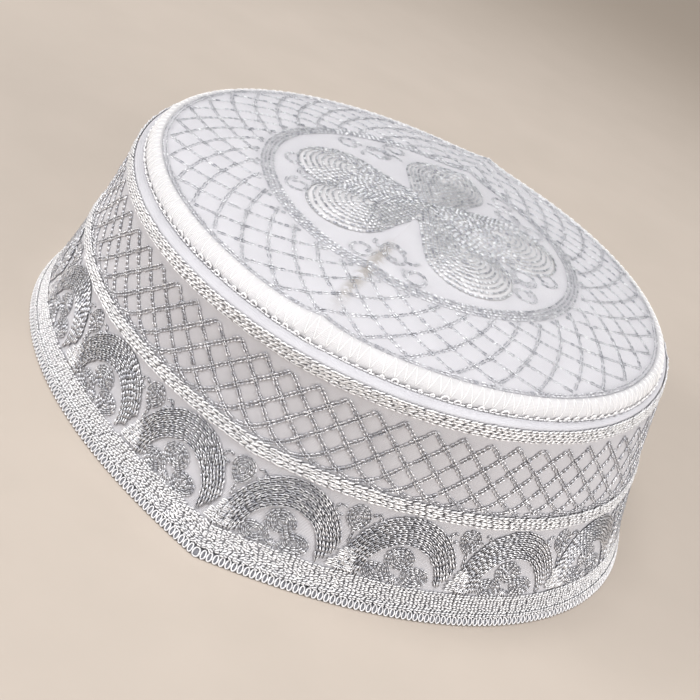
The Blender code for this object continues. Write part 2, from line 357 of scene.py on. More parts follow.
print("the crown's middle is", round(float(crown_top(0.0, 0.0)[2]), 2), "mm up")

# %% [markdown]
# ## From points to a mesh
# Thousands of stitches are too many for one object each, and an Array modifier cannot bend round a cap. So
# numpy works out all the points of a piece at once, and they go into one mesh in a single step. Each piece
# then rides on the cap's only body, takes its finish, and hides the solid that it stands for.

# %% Make a piece
pieces = {}


def make_piece(name, points, faces, finish, slot, solid=None):
    """faces is a list of arrays, one row for each face, all of a size within an array."""
    corners = np.concatenate([part.ravel() for part in faces]).astype(np.int32)
    sizes = np.concatenate([np.full(len(part), part.shape[1]) for part in faces])
    mesh = bpy.data.meshes.new(name)
    mesh.vertices.add(len(points))
    mesh.vertices.foreach_set("co", (points * MM).astype(np.float32).ravel())
    mesh.loops.add(len(corners))
    mesh.loops.foreach_set("vertex_index", corners)
    mesh.polygons.add(len(sizes))
    mesh.polygons.foreach_set("loop_start", (np.cumsum(sizes) - sizes).astype(np.int32))
    mesh.update(calc_edges=True)
    mesh.shade_smooth()
    mesh.materials.append(finish)
    piece = bpy.data.objects.new(name, mesh)
    bpy.context.scene.collection.objects.link(piece)
    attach(piece, "root")
    if solid:
        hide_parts(solid)
    pieces[name] = piece
    return piece


print("pieces so far:", len(pieces))

# %% [markdown]
# Most of the cap's cloth is made of hoops: loops of points round the cap, each joined to the
# next by four-sided faces. The order of a face's corners says which side is out, so the volume
# that the faces enclose is measured, and they are turned round if it is negative.

# %% Join loops of points
def hoop_faces(rows, columns, closed):
    """Four-sided faces between loops of the same number of points."""
    row, column = np.meshgrid(np.arange(rows if closed else rows - 1), np.arange(columns), indexing="ij")
    row, column = row.ravel(), column.ravel()
    after, above = (column + 1) % columns, (row + 1) % rows
    return np.stack(
        [row * columns + column, row * columns + after, above * columns + after, above * columns + column], -1
    )


def turned_out(points, faces):
    """The faces, turned round if they enclose a negative volume."""
    corner = points[faces[:, :3]]
    volume = np.einsum("ij,ij->i", corner[:, 0], np.cross(corner[:, 1], corner[:, 2])).sum()
    if faces.shape[1] == 4:
        corner = points[faces[:, [0, 2, 3]]]
        volume += np.einsum("ij,ij->i", corner[:, 0], np.cross(corner[:, 1], corner[:, 2])).sum()
    return faces[:, ::-1] if volume < 0 else faces


def hoop_piece(name, loops, finish, solid):
    """A piece of cloth made of loops of points, each joined to the next and the last to the first."""
    points = np.concatenate(loops)
    faces = hoop_faces(len(loops), len(loops[0]), True)
    return make_piece(name, points, [turned_out(points, faces)], finish, "white_cloth", solid)


print("a hoop of 4 loops of 6 points has", len(hoop_faces(4, 6, False)), "faces")

# %% [markdown]
# Woven cloth is equally fine everywhere, also where a piece is curved. So each piece of cloth
# carries a UV map in millimetres of flat cloth, and the weave reads that map. Blender's own
# unwrapping would stretch the weave at the creases, and here the runs are known anyway.

# %% Keep the cloth's own measure on it
def hoop_spots(around, across):
    """Where each point of a hoop piece lies on flat cloth, from its run around and across."""
    return np.stack([np.tile(around, len(across)), np.repeat(across, len(around))], -1)


def map_cloth(piece, spots, around=None):
    """Stores a UV map in millimetres of cloth, so that the weave has one scale everywhere."""
    mesh = piece.data
    corners = np.empty(len(mesh.loops), np.int32)
    mesh.loops.foreach_get("vertex_index", corners)
    flat = spots[corners].astype(np.float32)
    if around:
        quads = flat[:, 0].reshape(-1, 4)
        quads += np.where(quads.max(1, keepdims=True) - quads > around / 2, around, 0.0)
        flat[:, 0] = quads.ravel()
    layer = mesh.uv_layers.new(name="cloth")
    layer.data.foreach_set("uv", flat.ravel())


corners = hoop_spots(np.array([0.0, 5.0]), np.array([0.0, 2.0]))
print("a piece of 5 x 2 mm has its corners on flat cloth at", corners.tolist())

# %% [markdown]
# ## The white cloth
# The ground is a closely woven white twill with a faint lavender cast. Its threads are finer than half a
# millimetre, so they go in the material: one set of slanting waves for the twill and one set across it, added
# together as bump. Slow noise keeps the white from looking like paint. An image of cloth would be quicker,
# but waves stay sharp at any distance. The crown also has beige-grey marks on its fold, partly stain and
# partly painted shade of the crease, and the edging is painted dark, as painted shadow that shows between the
# loops of the overlocking.

# %% Helper for shader nodes
def add_node(tree, kind, sockets=None, **settings):
    made = tree.nodes.new("ShaderNode" + kind)
    for name, value in settings.items():
        setattr(made, name, value)
    for name, value in (sockets or {}).items():
        if isinstance(value, bpy.types.NodeSocket):
            tree.links.new(value, made.inputs[name])
        else:
            made.inputs[name].default_value = value
    return made


def mix_colours(tree, share, dark, light):
    mixed = add_node(tree, "Mix", {"Factor": share}, data_type="RGBA")
    mixed.inputs[6].default_value = (*dark, 1.0)
    mixed.inputs[7].default_value = (*light, 1.0)
    return mixed.outputs[2]


def new_finish(name):
    finish = bpy.data.materials.new(name)
    finish.use_nodes = True
    return finish, finish.node_tree, finish.node_tree.nodes["Principled BSDF"]


print("finishes so far:", len(bpy.data.materials))

# %% [markdown]
# Where a folded cap is pinched, its fold picks up beige smudges, and the crease beside it lies in shade; both
# are painted here as one beige-grey mark, partly stain and partly painted shade. They could be painted on an
# image, but four soft masks multiplied together need none: how far aside of the fold, where the mark starts,
# where it ends, and a noise that breaks it into patches.

# %% Stain and shade the fold
# The stain and painted crease shade beside the fold: aside, half_width, and where along it starts, is full,
# is full to, ends.
CREASE_STAIN_AND_SHADE = (0.2, 3.0, -72.0, -56.0, -36.0, -26.0)
STAIN_AND_SHADE_COLOUR = (0.36, 0.335, 0.315)
STAIN_AND_SHADE_PATCHES = (0.36, 0.54)  # noise below the first is clean cloth, above the second it is full


def crease_stain_and_shade(tree, place, cloth):
    """Beige-grey patches on the front of the fold, where the cap is pinched when it is put on: partly stain,
    partly painted shade of the crease.
    """
    aside, half_width, start, full, full_end, end = CREASE_STAIN_AND_SHADE
    spot = add_node(tree, "SeparateXYZ", {"Vector": place})
    off_fold = add_node(tree, "Math", {0: spot.outputs["X"], 1: aside}, operation="SUBTRACT")
    off_fold = add_node(tree, "Math", {0: off_fold.outputs[0]}, operation="ABSOLUTE")
    patches = add_node(tree, "TexNoise", {"Vector": place, "Scale": 0.28, "Detail": 4.0, "Roughness": 0.7})
    shares = []
    for value, low, high in (
        (off_fold.outputs[0], half_width, 0.0),
        (spot.outputs["Y"], start, full),
        (spot.outputs["Y"], end, full_end),
        (patches.outputs["Fac"], *STAIN_AND_SHADE_PATCHES),
    ):
        ramp = {"Value": value, "From Min": low, "From Max": high}
        shares.append(add_node(tree, "MapRange", ramp, interpolation_type="SMOOTHSTEP").outputs[0])
    share = shares[0]
    for other in shares[1:]:
        share = add_node(tree, "Math", {0: share, 1: other}, operation="MULTIPLY").outputs[0]
    # The mark is partly a stain and partly painted shade along the crease.
    stained_and_shaded = add_node(tree, "Mix", {"Factor": share}, data_type="RGBA")
    tree.links.new(cloth, stained_and_shaded.inputs[6])
    stained_and_shaded.inputs[7].default_value = (*STAIN_AND_SHADE_COLOUR, 1.0)
    return stained_and_shaded.outputs[2]


print("the smudge is", CREASE_STAIN_AND_SHADE[5] - CREASE_STAIN_AND_SHADE[2], "mm long")

# %% [markdown]
# The twill is two sets of waves, one slanting and one across. Their heights are added, with
# slow lumps where a thread is thicker, and go to the bump. The colour drifts between two near
# whites.

# %% Weave the white twill
TWILL_PITCH = 0.42
WEFT_PITCH = 0.36
TWILL_SHADES = ((0.52, 0.515, 0.545), (0.63, 0.625, 0.655))


def white_twill(name, dark, light, roughness, creased=False):
    finish, tree, shader = new_finish(name)
    place = add_node(tree, "UVMap", uv_map="cloth").outputs["UV"]
    slant = add_node(
        tree,
        "TexWave",
        {"Vector": place, "Scale": 2 * math.pi / (10 * TWILL_PITCH), "Distortion": 0.4, "Detail Scale": 0.3},
        bands_direction="DIAGONAL",
    )
    weft = add_node(
        tree,
        "TexWave",
        {"Vector": place, "Scale": 2 * math.pi / (20 * WEFT_PITCH), "Distortion": 0.6, "Detail Scale": 0.4},
        bands_direction="Y",
    )
    threads = add_node(tree, "Math", {0: slant.outputs["Fac"], 1: weft.outputs["Fac"]}, operation="ADD")
    slubs = add_node(tree, "TexNoise", {"Vector": place, "Scale": 1.3, "Detail": 3.0, "Roughness": 0.6})
    height = add_node(tree, "Math", {0: threads.outputs[0], 1: slubs.outputs["Fac"]}, operation="ADD")
    bump = add_node(tree, "Bump", {"Strength": 0.7, "Distance": 0.0001, "Height": height.outputs[0]})
    shade = add_node(tree, "TexNoise", {"Vector": place, "Scale": 0.09, "Detail": 4.0, "Roughness": 0.55})
    colour = mix_colours(tree, shade.outputs["Fac"], dark, light)
    if creased:
        colour = crease_stain_and_shade(tree, place, colour)
    tree.links.new(colour, shader.inputs["Base Color"])
    tree.links.new(bump.outputs["Normal"], shader.inputs["Normal"])
    shader.inputs["Roughness"].default_value = roughness
    shader.inputs["Sheen Weight"].default_value = 0.25
    shader.inputs["Sheen Roughness"].default_value = 0.4
    return finish


band_twill = white_twill("band_twill", *TWILL_SHADES, 0.6)
crown_twill = white_twill("crown_twill", *TWILL_SHADES, 0.6, creased=True)
welt_cotton = white_twill("welt_cotton", (0.58, 0.575, 0.585), (0.74, 0.73, 0.745), 0.75)
# The edging's dark colour is painted shadow: the shade that fills the gap in each overlock loop.
edging_painted_shadow = white_twill("edging_painted_shadow", (0.14, 0.145, 0.165), (0.23, 0.235, 0.26), 0.6)
print("cloth finishes:", band_twill.name, welt_cotton.name, edging_painted_shadow.name)

# %% [markdown]
# ## The silver thread
# The embroidery thread is a shiny silver-grey yarn. What makes it sparkle in the photograph is that each
# stitch is a small rounded strand that shines along one side and lies in shadow where it dives into the
# cloth. So each stitch carries two numbers on its points: a chance shade, and how much painted shade it gets,
# most at the stitch's ends and inside the loop. The material paints that shade in as a darker colour, and
# lets the chance shade change from stitch to stitch. One helper spins every thread: the silver of the lattice
# and the fans, a copy of it for the crown whose light end is painted brighter and dark end darker, a pale one
# for the bands, and the plain white and beige cottons of the welt.

# %% Spin the thread
def shiny_thread(name, dark, light, painted_shade_colour, roughness, metallic):
    finish, tree, shader = new_finish(name)
    shade = add_node(tree, "Attribute", attribute_name="shade").outputs["Fac"]
    # The second attribute is painted shade: it mixes the colour towards a dark one where the thread lies in
    # shadow.
    painted_shade = add_node(tree, "Attribute", attribute_name="painted_shade").outputs["Fac"]
    strand = mix_colours(tree, shade, dark, light)
    colour = add_node(tree, "Mix", {"Factor": painted_shade}, data_type="RGBA")
    tree.links.new(strand, colour.inputs[6])
    colour.inputs[7].default_value = (*painted_shade_colour, 1.0)
    tree.links.new(colour.outputs[2], shader.inputs["Base Color"])
    place = add_node(tree, "TexCoord").outputs["Object"]
    fibres = add_node(tree, "TexNoise", {"Vector": place, "Scale": 4200.0, "Detail": 2.0})
    bump = add_node(tree, "Bump", {"Strength": 0.35, "Distance": 0.00005, "Height": fibres.outputs["Fac"]})
    tree.links.new(bump.outputs["Normal"], shader.inputs["Normal"])
    shader.inputs["Roughness"].default_value = roughness
    shader.inputs["Metallic"].default_value = metallic
    shader.inputs["Sheen Weight"].default_value = 0.1
    return finish


# (dark, light, painted shade where the strand dives in and in its eye, roughness, how metallic)
silver_thread = shiny_thread(
    "silver_thread", (0.45, 0.46, 0.50), (0.90, 0.90, 0.92), (0.12, 0.125, 0.15), 0.30, 0.78
)
# The crown's thread is the same silver as the side's, painted with a brighter light end and a darker dark end
# for the stronger glints and shade on the crown.
crown_lit_thread = shiny_thread(
    "crown_lit_thread", (0.38, 0.39, 0.43), (0.94, 0.95, 0.97), (0.16, 0.165, 0.19), 0.34, 0.82
)
pale_thread = shiny_thread(
    "pale_thread", (0.80, 0.80, 0.82), (1.0, 1.0, 1.0), (0.34, 0.34, 0.37), 0.36, 0.45
)
rim_thread = shiny_thread(
    "rim_thread", (0.60, 0.60, 0.62), (0.88, 0.88, 0.90), (0.3, 0.3, 0.32), 0.42, 0.35
)
beige_thread = shiny_thread(
    "beige_thread", (0.80, 0.785, 0.78), (1.0, 0.99, 0.99), (0.44, 0.42, 0.41), 0.42, 0.15
)
fine_thread = shiny_thread(
    "fine_thread", (0.90, 0.89, 0.88), (1.0, 0.99, 0.98), (0.7, 0.69, 0.68), 0.5, 0.0
)
threads = (silver_thread, crown_lit_thread, pale_thread, rim_thread, beige_thread, fine_thread)
print("thread finishes:", [thread.name for thread in threads])

# %% [markdown]
# ## The side band
# The band is one strip of stiffened cloth, a little over two millimetres thick, turned in at
# the top where the welt is sewn to it. A plane with a Solidify modifier would do, but its top
# edge would be a hard corner. So loops of points are listed up the outside, over the top and
# down the inside, and faces join each loop to the next. The quilting shows inside as well.

# %% Cut the side band
WALL_THICK = 2.2
WALL_FOOT = 1.4
BAND_COLUMNS = 600
# The turned-in top edge. (from_level, inwards, up)
TOP_TURN = (
    (WALL_TOP, 0.12, 0.25),
    (WALL_TOP, 0.5, 0.4),
    (SEAM, -0.5, -0.2),
    (SEAM, 0.9, -1.3),
)
INSIDE_HEIGHTS = (57.0, 53.0, 49.0, 45.0, 41.0, 37.0, 33.0, 28.0, 22.0, 15.0, 8.0, WALL_FOOT)

columns = np.linspace(0.0, AROUND, BAND_COLUMNS, endpoint=False)
band_turns = turn_at(columns)
loops = [on_wall(columns, height) for height in np.linspace(WALL_FOOT, WALL_TOP[0], 50)]
for (height, half_width, half_length, crease), inwards, rise in TOP_TURN:
    x, y = plan_point(half_width - inwards, half_length - inwards, crease, band_turns)
    loops.append(np.stack([x, y, height + rise + 0.0 * x], -1))
for height in INSIDE_HEIGHTS:
    level = height + 0.0 * columns
    loops.append(bare_wall(columns, level, 0.5 * wall_relief(columns, level) - WALL_THICK))

section = np.stack([loop[BAND_COLUMNS // 4] for loop in loops])
section_run = np.concatenate([[0.0], np.cumsum(np.linalg.norm(np.diff(section, axis=0), axis=1))])
side_band = hoop_piece("side_band_cloth", loops, band_twill, "side_wall")
map_cloth(side_band, hoop_spots(columns, section_run), AROUND)
print("side band:", len(side_band.data.vertices), "points, thickness", WALL_THICK, "mm")

# %% [markdown]
# ## The crown
# The crown is a disc of the same cloth. A grid filled inside a circle would have uneven faces
# at its edge, where the lattice is, so the disc is built of rings, close together where there
# is relief and wide apart below, where nothing shows but plain cloth.

# %% Cut the crown
CROWN_THICK = 2.0
CROWN_COLUMNS = 480
# (ratio, below the upper face)
CROWN_UNDER = ((0.04, 2.0), (0.3, 2.0), (0.6, 2.0), (0.8, 2.0), (0.965, 2.0), (0.99, 1.5), (1.0, 0.7))
CROWN_RATIOS = np.concatenate([np.linspace(1.0, 0.64, 34), np.linspace(0.62, 0.04, 20)])

crown_turns = np.linspace(-math.pi, math.pi, CROWN_COLUMNS, endpoint=False)
loops = [on_crown(crown_turns, ratio, -below) for ratio, below in CROWN_UNDER]
loops += [on_crown(crown_turns, ratio) for ratio in CROWN_RATIOS]
middle = crown_top(np.zeros(1), np.zeros(1))
points = np.concatenate(loops + [middle - (0.0, 0.0, CROWN_THICK), middle])
around_faces = hoop_faces(len(loops), CROWN_COLUMNS, False)
step = np.arange(CROWN_COLUMNS)
after = (step + 1) % CROWN_COLUMNS
last = (len(loops) - 1) * CROWN_COLUMNS
under_middle, over_middle = len(points) - 2, len(points) - 1
under_faces = np.stack([np.full(CROWN_COLUMNS, under_middle), after, step], -1)
over_faces = np.stack([np.full(CROWN_COLUMNS, over_middle), last + step, last + after], -1)
if np.cross(*(points[over_faces[0, 1:]] - points[over_middle]))[2] < 0:
    under_faces, over_faces = under_faces[:, ::-1], over_faces[:, ::-1]
crown = make_piece(
    "crown_cloth",
    points,
    [turned_out(points, around_faces), under_faces, over_faces],
    crown_twill,
    "white_cloth",
    "crown_panel",
)
map_cloth(crown, points[:, :2])
print("crown:", len(points), "points")

# %% [markdown]
# ## The padded welt
# Between the side and the crown sits a soft roll of cotton, which hides the seam. Its section is an oval that
# leans inwards. A curve with a bevel would give a round section that twists as it goes round, so the oval is
# swept, its points given one by one. Faint gathers follow the zig-zag stitches that hold it.

# %% Roll the welt
WELT_LEAN = math.radians(45)
WELT_OUT = 1.6
WELT_IN = 1.9
WELT_COLUMNS = 640
WELT_ROWS = 18
ZIGZAGS = 168
GATHER = 0.02
WELT_MAP_REACH = 2.6  # mm of cloth to a radian round the section


def on_welt(turn, angle, off=0.0):
    """angle 0 is at the crown's edge, half a turn is at the seam, and between them is the outside."""
    half = [(SEAM[column] - CROWN_EDGE[column]) / 2 for column in range(4)]
    centre = [(SEAM[column] + CROWN_EDGE[column]) / 2 for column in range(4)]
    slide = -np.cos(angle)
    bulge = np.where(np.sin(angle) > 0, WELT_OUT, WELT_IN) * np.sin(angle)
    bulge = bulge + off * np.sin(angle) + GATHER * np.sin(angle) * np.cos(ZIGZAGS * turn)
    reach = bulge * math.cos(WELT_LEAN)
    x, y = plan_point(
        centre[1] + half[1] * slide + reach, centre[2] + half[2] * slide + reach, centre[3], turn
    )
    rise = half[0] * slide + bulge * math.sin(WELT_LEAN) + ridge(x) * (1 - slide) / 2
    return np.stack([x, y, centre[0] + rise], -1)


welt_turns = np.linspace(-math.pi, math.pi, WELT_COLUMNS, endpoint=False)
angles = np.linspace(0.0, 2 * math.pi, WELT_ROWS, endpoint=False)
loops = [on_welt(welt_turns, np.full(WELT_COLUMNS, angle)) for angle in angles]
welt = hoop_piece("crown_welt_roll", loops, welt_cotton, "crown_welt")
welt_round = 2 * math.pi * (SEAM[1] + CROWN_EDGE[1]) / 2
run = welt_turns / (2 * math.pi) * welt_round
map_cloth(welt, hoop_spots(run, angles * WELT_MAP_REACH), welt_round)
print("welt:", len(welt.data.vertices), "points")

# %% [markdown]
# ## The folded rim edging
# The raw edge of the band is wrapped in a folded strip, and the whole rim is overlocked: loops
# of thread go round the edge side by side. The strip comes first. Its section is the solid's,
# with the corners rounded, and its flat foot is what the cap stands on. A bevelled curve cannot
# follow the crease at front and back, so the section is carried round on the band's own lines.

# %% Fold the edging
EDGING_TOP = 2.0
# The section, outside first. (height, off the wall)
EDGING_SECTION = (
    (0.0, 0.75),
    (0.25, 1.05),
    (0.7, 1.2),
    (1.4, 1.05),
    (1.8, 0.65),
    (EDGING_TOP, 0.35),
    (1.8, 0.3),
    (1.1, 0.3),
    (1.1, -2.5),
    (1.8, -2.5),
    (EDGING_TOP, -2.8),
    (1.8, -3.2),
    (0.7, -3.3),
    (0.25, -3.15),
    (0.0, -2.9),
)
EDGING_MAP_STEP = 0.7  # mm of cloth from one point of the section to the next

loops = [bare_wall(columns, height + 0.0 * columns, off) for height, off in EDGING_SECTION]
edging = hoop_piece("rim_edging_fold", loops, edging_painted_shadow, "rim_edging")
map_cloth(edging, hoop_spots(columns, np.arange(len(loops)) * EDGING_MAP_STEP), AROUND)
print("edging:", len(edging.data.vertices), "points")

# %% [markdown]
# ## How a chain stitch is made
# A chain stitch is a loop of thread whose end is held down by the next loop. From above, each
# loop is two strands that leave the cloth together and part. Modelled here: each strand is a
# small spindle of ten points, thick in the middle and pointed where it dives into the cloth.
# In a close loop the strands lie side by side, and rows of them fill an area. In an open one they part around
# a small eye, and a single row makes a line. On the crown the stitches are shorter and do not reach each
# other, so its rows look dotted, and at the hem they are short and thick like seeds. The eye is where the
# needle went through. In close rows it lies in shadow, so there each stitch also has a small dark diamond of
# painted shadow.

# %% Shape one stitch
# One strand. (along, across, up): along is a share of the stitch's length, the rest is in mm.
# It starts high, on top of the loop before it, and ends low, under the next one.
CLOSE_STRAND = ((-0.80, 0.05, 0.30), (-0.28, 0.22, 0.50), (0.38, 0.37, 0.36), (0.84, 0.30, 0.06))
NARROW_STRAND = ((-0.68, 0.04, 0.20), (-0.26, 0.24, 0.36), (0.26, 0.27, 0.28), (0.66, 0.07, 0.04))
OPEN_STRAND = ((-0.64, 0.20, 0.24), (-0.32, 0.38, 0.40), (0.30, 0.42, 0.34), (0.64, 0.20, 0.06))
SPLIT_STRAND = ((-0.47, 0.30, 0.12), (-0.28, 0.41, 0.28), (0.26, 0.42, 0.27), (0.47, 0.30, 0.08))
SEED_STRAND = ((-0.66, 0.05, 0.16), (-0.26, 0.20, 0.42), (0.28, 0.28, 0.34), (0.66, 0.16, 0.04))
SHORT_STRAND = ((-0.46, 0.09, 0.14), (-0.28, 0.15, 0.30), (0.27, 0.16, 0.30), (0.46, 0.10, 0.10))
AROUND_STRAND = ((1, 0), (0, 1), (-1, 0), (0, -1))
# SHADED and TIP_SHADED are painted shade: the strand is coloured darker inside the loop and at its tips,
# where it lies in shadow.
SHADED = (0.0, 0.0, 0.8, 0.5)  # how dark each of those four points is, darkest inside the loop
TIP_SHADED = 0.9  # how dark a strand's two tips are
# The dark diamond of painted shadow in the eye: its half length and place along, as shares of the stitch's
# length, and its height in mm.
EYE_SHADOW = (0.34, 0.1, 0.16)


def stitch_shape(strand, thread, painted_shade_strength, eye):
    """Points, four-sided faces, three-sided faces and painted shade of the points, of both strands."""
    points, quads, tips, painted_shade = [], [], [], []
    for side in (1, -1):
        first = len(points)
        thick_part = [
            (along, across + wide * thread / 2, rise + tall * thread / 2)
            for along, across, rise in strand[1:3]
            for wide, tall in AROUND_STRAND
        ]
        one_strand = [strand[0], *thick_part, strand[3]]
        points += [(along, side * across, rise) for along, across, rise in one_strand]
        painted_shade += [TIP_SHADED, *SHADED, *SHADED, TIP_SHADED]
        for corner in range(4):
            near, far = first + 1 + corner, first + 1 + (corner + 1) % 4
            quads.append((near, far, far + 4, near + 4)[::side])
            tips.append((first, far, near)[::side])
            tips.append((first + 9, near + 4, far + 4)[::side])
    # In close rows a dark diamond of painted shadow fills the eye of each stitch.
    if eye:
        first = len(points)
        half, along, rise = EYE_SHADOW
        wide = (strand[1][1] + strand[2][1]) / 2
        points += [(-half, 0.0, rise), (along, -wide, rise), (half + along, 0.0, rise), (along, wide, rise)]
        quads.append((first, first + 1, first + 2, first + 3))
        painted_shade += [1.0] * 4
    return np.array(points), np.array(quads), np.array(tips), painted_shade_strength * np.array(painted_shade)


print("one stitch has", len(stitch_shape(CLOSE_STRAND, 0.4, 1.0, False)[0]), "points")

# %% [markdown]
# A row is a line on a surface. Blender's curves could carry stitches along it, but they know
# nothing of the padding and the relief. So the row is walked in even steps, each step is moved
# a little by chance, and the surface itself tells what is along, across and up at each place.

# %% Find the places along a row
SPACING_CHANCE = 0.09  # how unevenly stitches are spaced, as a share of a stitch
CAP_MIDDLE = (0.0, 0.0, 20.0)  # a point inside the cap, to tell outwards from inwards


def facing(surface, u, v):
    """Outward direction of the surface."""
    reach = 0.02
    along_u = surface(u + reach, v) - surface(u - reach, v)
    along_v = surface(u, v + reach) - surface(u, v - reach)
    normal = np.cross(along_u, along_v)
    normal /= np.linalg.norm(normal, axis=1)[:, None]
    outwards = surface(u, v) - CAP_MIDDLE
    return normal * np.sign(np.einsum("ij,ij->i", normal, outwards))[:, None]


def places_along(surface, u, v, length, lift, chance):
    """Places on a row, nearly evenly spaced: point, along, across, up and the spacing."""
    run = np.linalg.norm(np.diff(surface(u, v), axis=0), axis=1)
    run = np.concatenate([[0.0], np.cumsum(run)])
    count = max(2, round(run[-1] / length))
    spacing = run[-1] / count
    spots = (np.arange(count) + chance.random() + chance.normal(0.0, SPACING_CHANCE, count)) * spacing

    def at(where):
        return np.interp(where, run, u), np.interp(where, run, v)

    along = surface(*at(spots + spacing / 3)) - surface(*at(spots - spacing / 3))
    along /= np.linalg.norm(along, axis=1)[:, None]
    up_there = facing(surface, *at(spots))
    across = np.cross(up_there, along)
    across /= np.linalg.norm(across, axis=1)[:, None]
    return surface(*at(spots)) + lift * up_there, along, across, up_there, spacing


outwards = facing(on_crown, np.zeros(1), np.full(1, 0.5))[0]
print("halfway to its front edge the crown faces", [round(float(part), 2) for part in outwards])

# %% [markdown]
# One sewing function makes every chain stitch on the cap. It takes the rows, the shape of a
# strand, the thread, and how unruly the sewing was, and puts all the stitches in a single mesh.
# Each stitch gets its own lean, size, slide and shade from a seeded generator, so that the cap
# comes out the same each time.

# %% Sew rows of stitches
# How much stitches differ by chance, and the middle and spread of their shade.
LEAN_CHANCE, SIZE_CHANCE, SLIDE_CHANCE = 0.09, 0.09, 0.05
STITCH_SHADE = (0.5, 0.24)
stitch_total = 0


def mark_thread(made, shade, painted_shade):
    """Stores the two numbers that a thread finish reads, the chance shade and the painted shade, one of each
    for every point.
    """
    for label, values in (("shade", shade), ("painted_shade", painted_shade)):
        layer = made.data.attributes.new(label, "FLOAT", "POINT")
        layer.data.foreach_set("value", values.astype(np.float32))


def sew(
    name, rows, surface, strand, thread, length, finish, seed,
    painted_shade_strength=0.4, eye=False, lift=0.0, size=1.0, unruly=1.0, keep=None, **piece,
):
    """One mesh of stitches along rows, each a pair of arrays of places on the surface."""
    global stitch_total
    chance = np.random.default_rng(seed)
    shape, quads, tips, painted_shade = stitch_shape(strand, thread, painted_shade_strength, eye)
    blocks, shades = [], []
    for u, v in rows:
        place, along, across, rise, spacing = places_along(surface, u, v, length, lift, chance)
        if keep is not None:
            kept = keep(place)
            place, along, across, rise = place[kept], along[kept], across[kept], rise[kept]
        count = len(place)
        if count == 0:
            continue
        mess = unruly(place) if callable(unruly) else np.full(count, unruly)
        lean = (chance.normal(0.0, LEAN_CHANCE, count) * mess)[:, None]
        along, across = along + lean * across, across - lean * along
        grown = (size * (1 + chance.normal(0.0, SIZE_CHANCE, count)))[:, None, None]
        slide = (chance.normal(0.0, SLIDE_CHANCE, count) * mess)[:, None]
        blocks.append(
            (place + slide * across)[:, None, :]
            + shape[None, :, 0:1] * spacing * along[:, None, :]
            + shape[None, :, 1:2] * grown * across[:, None, :]
            + shape[None, :, 2:3] * grown * rise[:, None, :]
        )
        shades.append(np.clip(chance.normal(*STITCH_SHADE, count), 0.0, 1.0))
    blocks = np.concatenate(blocks)
    count = len(blocks)
    first = (np.arange(count) * len(shape))[:, None, None]
    made = make_piece(
        name,
        blocks.reshape(-1, 3),
        [(quads[None] + first).reshape(-1, 4), (tips[None] + first).reshape(-1, 3)],
        finish,
        "silver_thread",
        **piece,
    )
    mark_thread(made, np.repeat(np.concatenate(shades), len(shape)), np.tile(painted_shade, count))
    stitch_total += count
    return made


print("ready to sew; a stitch leans by chance", LEAN_CHANCE, "to either side")

# %% [markdown]
# ## Bands of chain stitch
# Three bands go right round the side: six rows at the hem, three above the fans and four
# below the ledge. Each row is a line at one height. The heights are read from the solids that
# the bands stand for, and the rows are spread between them. One more row lies on the shoulder
# of the edging, so that no gap shows below the hem. The hem's stitches are calm at the sides
# and unruly near the creases, where folding has worn them.

# %% Sew the three bands
HEM_FOOT = (2.35, 0.62)  # the height of the row on the edging, and how far out it is
CREASE_MESS = (1.3, 2.4, 34.0)  # how unruly the hem is at the sides, how much more at a crease, how far


def level_row(height):
    distance = np.linspace(0.0, AROUND, 1801)
    return distance, np.full(1801, height)


def band_rows(solid, rows, drop=0.0):
    low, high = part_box(solid)
    room = (high.z - low.z) / MM / rows
    return [level_row(low.z / MM - drop + (row + 0.5) * room) for row in range(rows)]


def worn_by_folding(place):
    calm, more, reach = CREASE_MESS
    return calm + more * np.exp(-((place[:, 0] / reach) ** 2))


hem_stitch = dict(
    strand=SEED_STRAND, thread=0.44, length=1.15, finish=pale_thread,
    painted_shade_strength=1.0, size=1.1, unruly=worn_by_folding,
)
braid_stitch = dict(strand=CLOSE_STRAND, length=1.75, finish=pale_thread, painted_shade_strength=0.8, eye=True)
rows = band_rows("hem_braid", 6, 0.35)
sew("hem_rows", rows, on_wall, seed=11, lift=0.1, solid="hem_braid", **hem_stitch)
sew("hem_foot_row", [level_row(HEM_FOOT[0])], on_wall, seed=14, lift=HEM_FOOT[1], **hem_stitch)
# (name, solid, rows, drop, thread, seed, lift, size)
for name, solid, count, drop, thread, seed, lift, size in (
    ("lower_braid_rows", "lower_braid", 3, 0.0, 0.50, 12, 0.2, 1.2),
    ("upper_braid_rows", "upper_braid", 4, -0.15, 0.48, 13, 0.1, 1.12),
):
    rows = band_rows(solid, count, drop)
    sew(name, rows, on_wall, thread=thread, seed=seed, lift=lift, size=size, solid=solid, **braid_stitch)
print("stitches so far:", stitch_total)

# %% [markdown]
# ## The lattice on the side
# Lines of open chain stitch start in pairs just under the upper braid and run down to both
# sides, crossing as they go, and level out where they reach the lower braid. Every line is
# the same curve moved round by a whole number of steps, so a loop draws them all.

# %% Sew the side lattice
rows = []
for number in range(WALL_VS):
    start = WALL_V_START + number * WALL_V_PITCH
    for way in (1, -1):
        rows.append((start + way * asides * WALL_V_PITCH, lattice_height(asides)))
sew("side_lattice_lines", rows, on_wall, OPEN_STRAND, 0.42, 1.3, silver_thread, 21, painted_shade_strength=0.3, lift=0.08)
print("side lattice:", len(rows), "lines")

# %% [markdown]
# ## The fans
# Seventeen fans stand in a row round the hem. Each is a half oval of seven rows, laid one
# inside the next, and the rows end a little higher on the right the further out they are. The
# rows are written once, measured from the middle of the fan's foot, and moved round.

